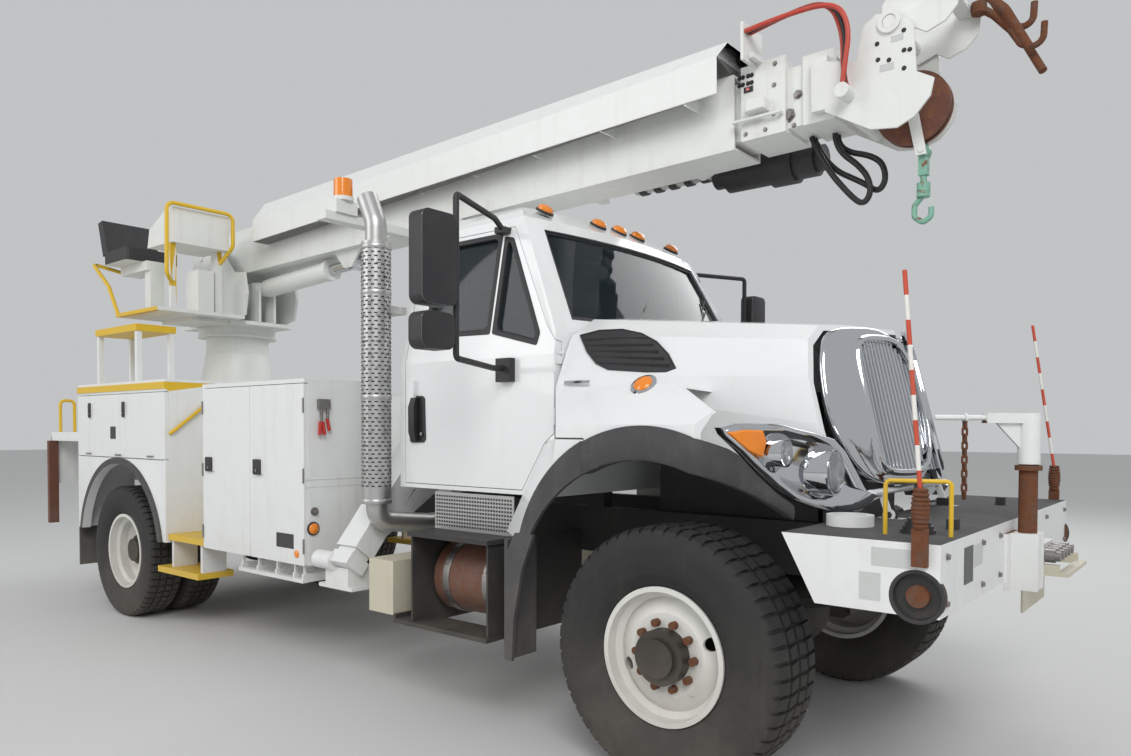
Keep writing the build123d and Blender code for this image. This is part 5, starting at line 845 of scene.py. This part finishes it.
def add_tyre(form, radius, width, rim_half, centre):
    half = width / 2
    bead = rim_half - 7
    belly = (BEAD_R + radius) / 2
    wall = [(bead - 5, BEAD_R + 0.3), (bead, 301.5), (half * 0.84, BEAD_R + 34), (half * 0.9, BEAD_R + 60),
            (half * 0.915, BEAD_R + 64), (half * 0.93, BEAD_R + 72), (half * 0.975, belly - 20), (half, belly + 10),
            (half * 0.995, belly + 22), (half, belly + 26), (half * 0.985, radius - 70), (half * 0.955, radius - 42),
            (half * 0.9, radius - 24), (half * 0.8, radius - 14)]
    profile = [(-along, r) for along, r in wall] + [(along, r) for along, r in reversed(wall)]
    centre = Vector(centre)
    form.rings([[centre + Vector((r * math.cos(turn), along, r * math.sin(turn))) for turn in full_turn(TYRE_SIDES)]
                for along, r in profile + profile[:1]])
    block = Form(TYRE)
    groove = radius - TREAD_DEPTH
    for sign in (-1, 1):
        shoulder = [(-24, 0.955, radius - 44), (-24, 0.9, groove), (-24, 0.76, radius - 1), (-20, 0.46, radius),
                    (-22, 0.44, groove), (-26, 0.74, groove), (-26, 0.85, radius - 26), (-26, 0.93, radius - 50)]
        loop = [(x, sign * half * y, z) for x, y, z in shoulder]
        block.rings([loop, [(x + 47, y, z) for x, y, z in loop]], ends=True)
        near_y, far_y, lean = sign * half * 0.05, sign * half * 0.36, 9
        block.rings([[(x, near_y, groove), (x + lean, far_y, groove), (x + lean, far_y, radius), (x, near_y, radius)]
                     for x in (-22, 24)], ends=True)
    copies_form(form, block, TREAD_BLOCKS, centre, turn=(0, 2 * math.pi / TREAD_BLOCKS, 0))


# Radius, width and half the rim's width, and how far the tyres' middles stand from the truck's
FRONT_TYRE, FRONT_TYRE_Y = (555.0, 385.0, 149.0), 998
REAR_TYRE, REAR_TYRE_YS = (525.0, 279.0, 106.0), (1074, 744)
for side, sign in SIDES:
    form = Form(TYRE)
    add_tyre(form, *FRONT_TYRE, (0, sign * FRONT_TYRE_Y, FRONT_HUB_Z))
    tyre = make_piece(form, "front_tyre_skin_" + side, body_of(nodes["front_tyre_" + side])[0], smooth=32)
    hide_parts("front_tyre_" + side)
    form = Form(TYRE)
    for y in REAR_TYRE_YS:
        add_tyre(form, *REAR_TYRE, (REAR_HUB_X, sign * y, REAR_HUB_Z))
    tyre = make_piece(form, "rear_tyre_skins_" + side, body_of(nodes["rear_tyres_" + side])[0], smooth=32)
    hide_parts("rear_tyres_" + side)


# Hoses: each a smooth line through the route's points, as the part's source has them
def make_hose(name, route, thickness, material):
    curve = bpy.data.curves.new(name, "CURVE")
    curve.dimensions = "3D"
    curve.bevel_depth = thickness / 2000
    curve.bevel_resolution = 4
    curve.use_fill_caps = True
    spline = curve.splines.new("NURBS")
    spline.points.add(len(route) - 1)
    for point, place in zip(spline.points, route):
        point.co = (*at(*place), 1.0)
    spline.order_u = 3
    spline.use_endpoint_u = True
    spline.resolution_u = 10
    curve.materials.append(material)
    piece = place_piece(name, curve, "boom_stage")
    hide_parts("tip_hoses")


UPPER_HOSE, LOWER_HOSE = 24, 30


def upper_route(n):
    y, spread = -234 - 25 * n, 26 * n
    return [(-82, y, 3522 - 3 * n), (120, y, 3560 - 14 * n), (330 + spread, y, 3560 - 20 * n), (400 + spread, y, 3380),
            (400 + spread * 0.5, y, 3200), (415, y + 10, 3136.5)]


def lower_route(y, reach, low):
    return [(125, y, 3034.4), (190, y, 2880), (330 + reach, y, low + 60), (400 + reach, y, low),
            (440 + reach, y, low + 70), (400 + reach, y, low + 180), (250, y, 2950), (250, y, 3028.5)]


for n, material in enumerate((RED_HOSE, HOSE, RED_HOSE)):
    make_hose(f"hose_{n + 1}", upper_route(n), UPPER_HOSE, material)
for n, route in ((3, lower_route(60, 0, 2640)), (4, lower_route(98, 60, 2700))):
    make_hose(f"hose_{n + 1}", route, LOWER_HOSE, HOSE)


# Windshield seal with its border, wipers and roof lamps
def on_windshield(u, v, out):
    """A place on the windshield: u goes from -1 to 1 across it and v from its top edge to its foot."""
    top_edge = Vector((-1029 + 74 * (1 - u ** 2), 758 * u, 2586))
    foot_edge = Vector((-762 + 92 * (1 - u ** 2), 846 * u, 2068))
    return top_edge.lerp(foot_edge, v) + Vector((0.89, 0.2 * u, 0.46)) * out


def make_cab_details():
    seal = Form(BLACK_PLASTIC)
    seal.tube([on_windshield(y / 758, 0, 0) for y in range(-758, 759, 84)], 9, 8)
    seal.tube([on_windshield(y / 846, 1, 0) for y in range(-846, 847, 94)], 10, 8)
    for sign in (-1, 1):
        seal.tube([(-1026, sign * 758, 2586), (-759, sign * 846, 2068)], 9, 8)
    way = [(-1 + k / 9, 0) for k in range(19)] + [(1, k / 6) for k in range(1, 6)]
    way += [(1 - k / 9, 1) for k in range(19)] + [(-1, 1 - k / 6) for k in range(1, 6)]
    border = [[on_windshield(u, v, out) for u, v in way] for out in (-12, 3)]
    border += [[on_windshield(u * 0.955, 0.05 + v * 0.90, out) for u, v in way] for out in (1, -12)]
    seal.rings(border + border[:1])
    for y in (-430, 240):
        pivot = Vector((-668 - 62 * (y / 846) ** 2, y, 2052))
        end = Vector((-800 - 62 * ((y + 420) / 846) ** 2, y + 420, 2290))
        seal.tube([pivot, end], 6, 6)
        seal.tube([end + Vector((65, -200, -110)), end + Vector((-40, 40, 70))], 5, 6)
    make_piece(seal, "windshield_gasket_and_wipers", "chassis")
    lamps = Form(AMBER)
    for y in (-640, -200, 0, 200, 640):
        x = -1128 + 52 * (1 - (y / 760) ** 2)
        lamps.use(AMBER).turned((x + 20, y, 2722), (0.5, 0, 0.86), [(-10, 46), (8, 44), (20, 30), (24, 2)], 20)
        lamps.use(BLACK_PLASTIC).turned((x + 18, y, 2718), (0.5, 0, 0.86), [(-16, 52), (-2, 52), (-1, 40)], 20)
    make_piece(lamps, "roof_lamps", "chassis")


make_cab_details()


# Door details: the handle in its recess, the lock and the seals of the panes
def drawn_in(outline, amount):
    """An outline in a plane, given clockwise or not, with each side moved in by an amount."""
    area = sum(a[0] * b[1] - b[0] * a[1] for a, b in zip(outline, outline[1:] + outline[:1]))
    turn = 1 if area > 0 else -1
    result = []
    for n, corner in enumerate(outline):
        before, after = Vector(outline[n - 1]), Vector(outline[(n + 1) % len(outline)])
        corner = Vector(corner)
        first, second = (corner - before).normalized(), (after - corner).normalized()
        inward = [Vector((-run.y, run.x)) * turn for run in (first, second)]
        half = (inward[0] + inward[1]).normalized()
        result.append(tuple(corner + half * amount / max(half.dot(inward[0]), 0.5)))
    return result


def rounded(outline, reach):
    """An outline with each corner turned into a short bend that starts a reach before it."""
    result = []
    for n, corner in enumerate(outline):
        corner = Vector(corner)
        before, after = Vector(outline[n - 1]), Vector(outline[(n + 1) % len(outline)])
        first = corner + (before - corner).normalized() * min(reach, (before - corner).length * 0.45)
        last = corner + (after - corner).normalized() * min(reach, (after - corner).length * 0.45)
        for share in (0, 0.25, 0.5, 0.75, 1):
            result.append(tuple(first.lerp(corner, share).lerp(corner.lerp(last, share), share)))
    return result


PANES = ([(-1700, 2040), (-1206, 2030), (-1206, 2556), (-1700, 2556)],
         [(-1166, 2028), (-858, 1952), (-850, 2000), (-1118, 2520), (-1166, 2530)])
WAIST_Z = 2016
LEANING, SPREADING = 0.1918, 0.237


def door_side(z):
    """How far the door's outer face is from the truck's middle at a height."""
    return 966 - (z - 2040) * LEANING if z > WAIST_Z else 970.6 + (WAIST_Z - z) * SPREADING


def make_door_details(side, sign):
    form = Form(BLACK_PLASTIC)
    recess = [(-1796, 1452), (-1784, 1692), (-1764, 1706), (-1690, 1704), (-1672, 1690), (-1664, 1460), (-1680, 1442),
              (-1780, 1440)]
    form.rings([[(x, sign * y, z) for x, z in scaled(recess, (-1730, 1573), wide, high)]
                for wide, high, y in ((1, 1, 1000.5), (1, 1, 1006), (0.84, 0.93, 1007), (0.8, 0.9, 1002))], ends=True)
    grip = ((-1764, 1027, 1008, 1450), (-1770, 1040, 1014, 1500), (-1770, 1042, 1014, 1640), (-1764, 1027, 1008, 1694))
    form.rings([[(x, sign * outer, z), (-1722, sign * outer, z), (-1722, sign * inner, z), (x, sign * inner, z)]
                for x, outer, inner, z in grip], ends=True)
    form.use(STEEL).turned((-1696, sign * 1006, 1490), (0, sign, 0), [(0, 11), (7, 11), (8, 4)], 16)
    form.use(BLACK_PLASTIC)
    for window in PANES:
        loops = []
        for grow, out, bend in ((-12, -2, 14), (-12, 3, 14), (-8, 5, 14), (14, 5, 34), (17, 1, 34), (17, -19, 34)):
            loops.append([(x, sign * (door_side(z) + out), z) for x, z in rounded(drawn_in(window, grow), bend)])
        form.rings(loops + loops[:1])
    make_piece(form, "door_trim_" + side, "door_" + side, smooth=45)


for side, sign in SIDES:
    make_door_details(side, sign)


# Hood details: louvred vents, side markers and blank badges
def make_hood_details():
    form = Form(BLACK_PLASTIC)
    outline = [Vector(corner) for corner in (
        (-664, -876, 1984), (-560, -852, 2004), (-440, -823, 2003), (-340, -800, 1978), (-262, -790, 1935),
        (-196, -790, 1872), (-146, -803, 1800), (-190, -822, 1782), (-292, -853, 1786), (-473, -900, 1804),
        (-540, -908, 1838), (-600, -900, 1895))]
    normal = Vector((0.24, -0.88, 0.4)).normalized()
    middle = sum(outline, Vector()) / len(outline)
    steps = ((1.0, -14), (1.0, 4), (0.985, 9), (0.955, 9), (0.94, 5), (0.5, 7))
    form.rings([[middle + (corner - middle) * share + normal * out for corner in outline] for share, out in steps],
               ends=True)
    up = Vector((0, 0, 1))
    for n in range(5):
        share = (n + 0.6) / 5.2
        rear = Vector((-655, -880, 1972)).lerp(Vector((-500, -902, 1812)), share)
        front = Vector((-330, -800, 1968)).lerp(Vector((-160, -815, 1792)), share)
        form.rings([[end - normal * 10, end + normal * 7 + up * 14, end + normal * 10 + up * 6, end - up * 12]
                    for end in (rear, rear.lerp(front, 0.5) + normal * 4, front)], ends=True)
    place = Vector((-205, -990, 1722))
    out = Vector((0.05, -0.72, 0.69)).normalized()
    form.use(CHROME).turned(place - out * 6, out, [(-4, 64), (6, 64), (12, 52), (13, 40)], 28)
    form.use(AMBER).turned(place, out, [(2, 46), (12, 44), (22, 30), (25, 4)], 24)
    form.use(CHROME)
    badge = [(-668, -992, 1738), (-532, -968, 1738), (-532, -960, 1752), (-668, -984, 1752)]
    form.rings([badge, [(x + 1.0, y - 4.0, z + 2.0) for x, y, z in badge]], ends=True)
    form.mirror()
    make_piece(form, "hood_details", "hood", smooth=40)


make_hood_details()


# Marker rods with their red and white bands, and hardware on the bumper
def make_marker_rods():
    rods = Form(BODY_PAINT)
    foot_y, bands = 1209, 9
    for sign, lean, top in ((-1, -62.0, 2060.0), (1, -120.0, 2113.0)):
        start, end = Vector((1065, sign * foot_y, 1300)), Vector((1065 + lean, sign * foot_y, top))
        for n in range(bands):
            rods.use(ROD_WHITE if n % 2 else ROD_RED)
            rods.tube([start.lerp(end, n / bands), start.lerp(end, (n + 1) / bands)], 7.8, 12)
        for n in range(9):
            swell = 22 + 6 * math.sin(math.pi * n / 8)
            rods.use(IRON).turned((1065, sign * foot_y, 1192 + n * 15), (0.02, 0, 1),
                                  [(0, swell), (4, swell + 3), (9, swell + 3), (13, swell)], 20)
    make_piece(rods, "marker_rods", "chassis")


def make_bumper_hardware():
    form = Form(STEEL)
    front = BUMPER_FRONT + STAND_OFF
    for y in (-1120, -640, -360, 620, 1120):
        for z in (930, 1090):
            form.turned((front, y, z), AHEAD, [(0, 13), (3, 13), (3, 10), (11, 10), (12, 4)], 6)
    pocket = [(-24, 90), (1.5, 93), (3, 88), (1, 80), (-22, 76), (-26, 40)]
    for sign in (-1, 1):
        outward = (0, sign, 0)
        form.use(FRAME_BLACK).turned((COUPLER_X, sign * 1194, COUPLER_Z), outward, pocket, 36)
        form.use(RUST_BROWN).turned((COUPLER_X, sign * 1172, COUPLER_Z), outward,
                                    [(-4, 40), (8, 38), (12, 22), (13, 3)], 24)
    form.use(BLANK_LABEL).box((856, -1196.5, 925), (930, -1195.2, 1022))
    form.box((898, -1196.5, 1048), (1056, -1195.2, 1112))
    form.use(DARK_PLATE).box((front, -900, 962), (front + 1.5, -780, 1096))
    form.use(BLANK_LABEL).box((front, -760, 1010), (front + 1.5, -640, 1090))
    make_piece(form, "bumper_hardware", "chassis")


make_marker_rods()
make_bumper_hardware()


def add_paddle(form, sign, x, z, wide, high, out):
    """A paddle latch whose foot stands out from the body's side by an amount."""
    out += BODY_SIDE
    corners = ((-1, -1, 0, 8), (-1, -1, 8, 0), (1, -1, -8, 0), (1, -1, 0, 8), (1, 1, 0, -8), (1, 1, -8, 0),
               (-1, 1, 8, 0), (-1, 1, 0, -8))
    outline = [(x + a * wide + da, z + b * high + db) for a, b, da, db in corners]
    form.use(BLACK_PLASTIC)
    form.rings([[(a, sign * (out + rise), b) for a, b in scaled(outline, (x, z), across, tall)]
                for across, tall, rise in ((1, 1, 0), (1, 1, 6), (0.8, 0.85, 9))], ends=True)
    form.use(STEEL).turned((x, sign * (out + 8), z - high * 0.45), (0, sign, 0), [(0, 9), (5, 9), (6, 3)], 14)


# The latches and blank plates of each door, which they move with
DOOR_HARDWARE = {
    "cabinet_door_rear": ([(-3656, 1270, 47, 50, 10)], []),
    "cabinet_door_front": ([(-3037, 1270, 47, 50, 10)], [(-2831, -2640, 775, 865)]),
    "box_door": ([(-5650, 1665, 24, 62, 12), (-5000, 1665, 24, 62, 12)], [(-5275, -5175, 1430, 1530)]),
}


def make_door_hardware(side, sign):
    for door, (latches, plates) in DOOR_HARDWARE.items():
        form = Form(BLACK_PLASTIC)
        for latch in latches:
            add_paddle(form, sign, *latch)
        for x0, x1, z0, z1 in plates:
            form.use(BLACK_PLATE).box((x0, sign * (BODY_SIDE + 0.5), z0), (x1, sign * (BODY_SIDE + 2), z1))
        if door == "cabinet_door_front":
            form.use(AMBER).turned((-2606, sign * BODY_SIDE, 747), (0, sign, 0),
                                   [(0, 24), (5, 23), (9, 14), (10, 3)], 24)
        make_piece(form, f"{door}_hardware_{side}", f"{door}_{side}", smooth=40)


for side, sign in SIDES:
    make_door_hardware(side, sign)


# Body details: hinges, seams, lamps, the clamps on the cabinet's front face and a grab rod
def make_body_details():
    form = Form(STEEL)
    hinge_y = -BODY_SIDE - 5
    for z in (800, 1230, 1660):
        for x in (CABINET_FRONT - 4, CABINET_REAR + 4):
            form.tube([(x, hinge_y, z - 45), (x, hinge_y, z + 45)], 6, 10)
    for x in (-5700, -5124, -4560):
        form.tube([(x - 50, hinge_y, 1302), (x + 50, hinge_y, 1302)], 6, 10)
    form.mirror()
    front = CABINET_FRONT + STAND_OFF
    form.use(BODY_PAINT)
    for z in (1205, 1160):
        form.box((front, -1216, z), (front + 3, -720, z + 3))
    form.use(STEEL).turned((front, -1150, 1010), AHEAD, [(0, 26), (6, 26), (8, 14), (26, 14), (28, 5)], 20)
    form.use(AMBER).turned((front, -1160, 905), AHEAD, [(0, 34), (12, 33), (22, 22), (25, 3)], 24)
    form.use(BLACK_PLASTIC).turned((front, -1160, 905), AHEAD, [(0, 42), (8, 42), (9, 35)], 24)
    form.use(STEEL).box((front, -1130, 1640), (front + 30, -1050, 1700))
    for y, low in ((-1110, 1560), (-1065, 1580)):
        form.tube([(front + 18, y, 1650), (front + 18, y, low)], 9)
    form.use(RED_GRIP)
    for y, high, end_y, low in ((-1118, 1560, -1126, 1480), (-1100, 1560, -1092, 1480), (-1070, 1580, -1056, 1505)):
        form.tube([(front + 20, y, high), (front + 24, end_y, low)], 11)
    form.use(YELLOW).tube([(-4318, -1186, 1478), (-4300, -1176, 1490), (-4300, -925, 1690), (-4318, -915, 1700)], 13)
    make_piece(form, "body_hardware", "chassis", smooth=40)


make_body_details()


# Boom tip details: bolts, a black disc painted as the shade of a hole, the valve box with its bar, switches and blank
# labels
SIDE_PLATE_Y, STAGE_PLATE_Y, STAGE_Y = -200, -159, -125


def make_tip_details():
    form = Form(STEEL)

    def stud(x, y, z, radius, sides):
        form.turned((x, y, z), (0, -1, 0), [(-2, radius * 1.5), (2, radius * 1.5), (2, radius),
                                            (radius * 0.9, radius), (radius, radius * 0.4)], sides)

    form.use(FRAME_BLACK)
    for x, z in ((547, 3302), (552, 3228), (602, 3214), (669, 3240), (670, 3159), (667, 3330), (694, 3236)):
        stud(x, SIDE_PLATE_Y, z, 7, 20)
    form.use(STEEL)
    for x, z in ((16, 3264), (16, 3120), (-30, 3050), (-140, 3050), (20, 3370)):
        stud(x, STAGE_PLATE_Y, z, 9, 6)
    form.use(FRAME_BLACK)
    for x in (-178, -158, -128, -108):
        for z in (3346, 3308):
            stud(x, STAGE_PLATE_Y, z, 8, 20)
    form.use(STEEL)
    for x, z, radius in ((130, 3198, 17), (80, 3105, 26), (110, 3050, 9), (60, 3280, 9)):
        stud(x, STAGE_Y, z, radius, 6)
    # A thin black disc on the side plate: painted shade of a hole
    form.use(FRAME_BLACK).turned((606, SIDE_PLATE_Y, 3372), (0, -1, 0), [(-2, 22), (1.5, 22), (2, 15)], 24)
    form.use(BOOM_PAINT)
    valve_box = [(-118, 3136), (-118, 3196), (-96, 3212), (-20, 3206), (-8, 3180), (-8, 3140)]
    valve_lid = [(-110, 3142), (-110, 3192), (-94, 3204), (-24, 3198), (-16, 3178), (-16, 3146)]
    form.rings([[(x, y, z) for x, z in outline]
                for outline, y in ((valve_box, -158), (valve_box, -214), (valve_lid, -222))], ends=True)
    form.tube([(-200, -190, 3112), (70, -190, 3112)], 9, 10)
    for x, foot_y in ((-190, -158), (60, -124)):
        form.box((x - 8, -192, 3104), (x + 8, foot_y, 3120))
    form.use(FRAME_BLACK).box((-150, -164, 3262), (-100, -158, 3290))
    form.use(RED_LENS).box((-135, -168, 3268), (-118, -158, 3284))
    form.use(BLANK_LABEL).box((610, -201.5, 3290), (665, -199, 3318))
    form.box((560, -201.5, 3168), (625, -199, 3200))
    make_piece(form, "tip_hardware", "boom_stage", smooth=40)


make_tip_details()


# Painted shade: thin black boxes as the dark slots of the stack's shield and the dark holes of the step's shield; then
# clamps and tank straps
def make_shield_shades_and_straps():
    form = Form(FRAME_BLACK)
    stack, columns = (-2004, -1080), 14
    for shift, rise in ((0, 0), (math.pi / columns, 23)):
        # The stack shield's slots are thin black boxes on its face: painted shade of the openings
        painted_slot_shades = Form(FRAME_BLACK)
        for row in range(30):
            painted_slot_shades.box((83.2, -10, row * 46 - 4), (84.9, 10, row * 46 + 4))
        painted_slot_shades.points = [(x * math.cos(shift) - y * math.sin(shift), x * math.sin(shift) + y * math.cos(shift),
                          z + rise) for x, y, z in painted_slot_shades.points]
        copies_form(form, painted_slot_shades, columns, (*stack, 1190), turn=(0, 0, 2 * math.pi / columns))
    # The step shield's holes are thin black boxes on its face: painted shade of the openings
    painted_hole_shades = Form(FRAME_BLACK)
    for n in range(9):
        painted_hole_shades.box((-6, -1, n * 20), (6, 1, n * 20 + 10))
    for sign in (-1, 1):
        copies_form(form, painted_hole_shades, 29, (-1582, sign * 990.6, 984), step=(20, 0, 0))
    form.use(ALUMINIUM)
    for z in (1100, 1700, 2300, 2560):
        form.turned((*stack, z), (0, 0, 1), [(-14, 85.5), (-10, 88), (10, 88), (14, 85.5)], 40)
    form.use(STEEL)
    for sign in (-1, 1):
        for x in (-1440, -1140):
            form.turned((x, sign * 860, 705), AHEAD, [(-24, 199.6), (-22, 201.5), (22, 201.5), (24, 199.6)], 48)
    make_piece(form, "shield_slot_shades_and_straps", "chassis")


make_shield_shades_and_straps()


# Plain pale floor and soft studio light
FLOOR_REACH = 60
LIGHT_TARGET = Vector((0.5, 0, 1.3))
LAMPS = (("key", (9.0, -9.0, 9.5), 7.0, 900.0), ("fill", (-6.0, -11.0, 6.0), 8.0, 380.0),
         ("rim", (2.0, 9.0, 9.0), 8.0, 420.0))


def set_stage():
    mesh = bpy.data.meshes.new("studio_floor")
    corners = [(x * FLOOR_REACH, y * FLOOR_REACH, 0) for x, y in ((-1, -1), (1, -1), (1, 1), (-1, 1))]
    mesh.from_pydata(corners, [], [(0, 1, 2, 3)])
    floor = bpy.data.objects.new("studio_floor", mesh)
    bpy.context.scene.collection.objects.link(floor)
    material, _, shader = new_material("pale floor")
    set_inputs(shader, {"Base Color": (0.62, 0.62, 0.61, 1), "Roughness": 0.9})
    mesh.materials.append(material)
    world = bpy.data.worlds.new("studio")
    world.use_nodes = True
    bpy.context.scene.world = world
    set_inputs(world.node_tree.nodes["Background"], {"Color": (0.86, 0.88, 0.90, 1), "Strength": 0.62})
    for label, place, size, power in LAMPS:
        lamp_data = bpy.data.lights.new(label, "AREA")
        lamp_data.shape = "DISK"
        lamp_data.size = size
        lamp_data.energy = power
        lamp = bpy.data.objects.new(label, lamp_data)
        bpy.context.scene.collection.objects.link(lamp)
        lamp.location = place
        lamp.rotation_euler = (LIGHT_TARGET - Vector(place)).to_track_quat("-Z", "Y").to_euler()


set_camera()
set_stage()
bpy.context.scene.view_settings.view_transform = "Standard"
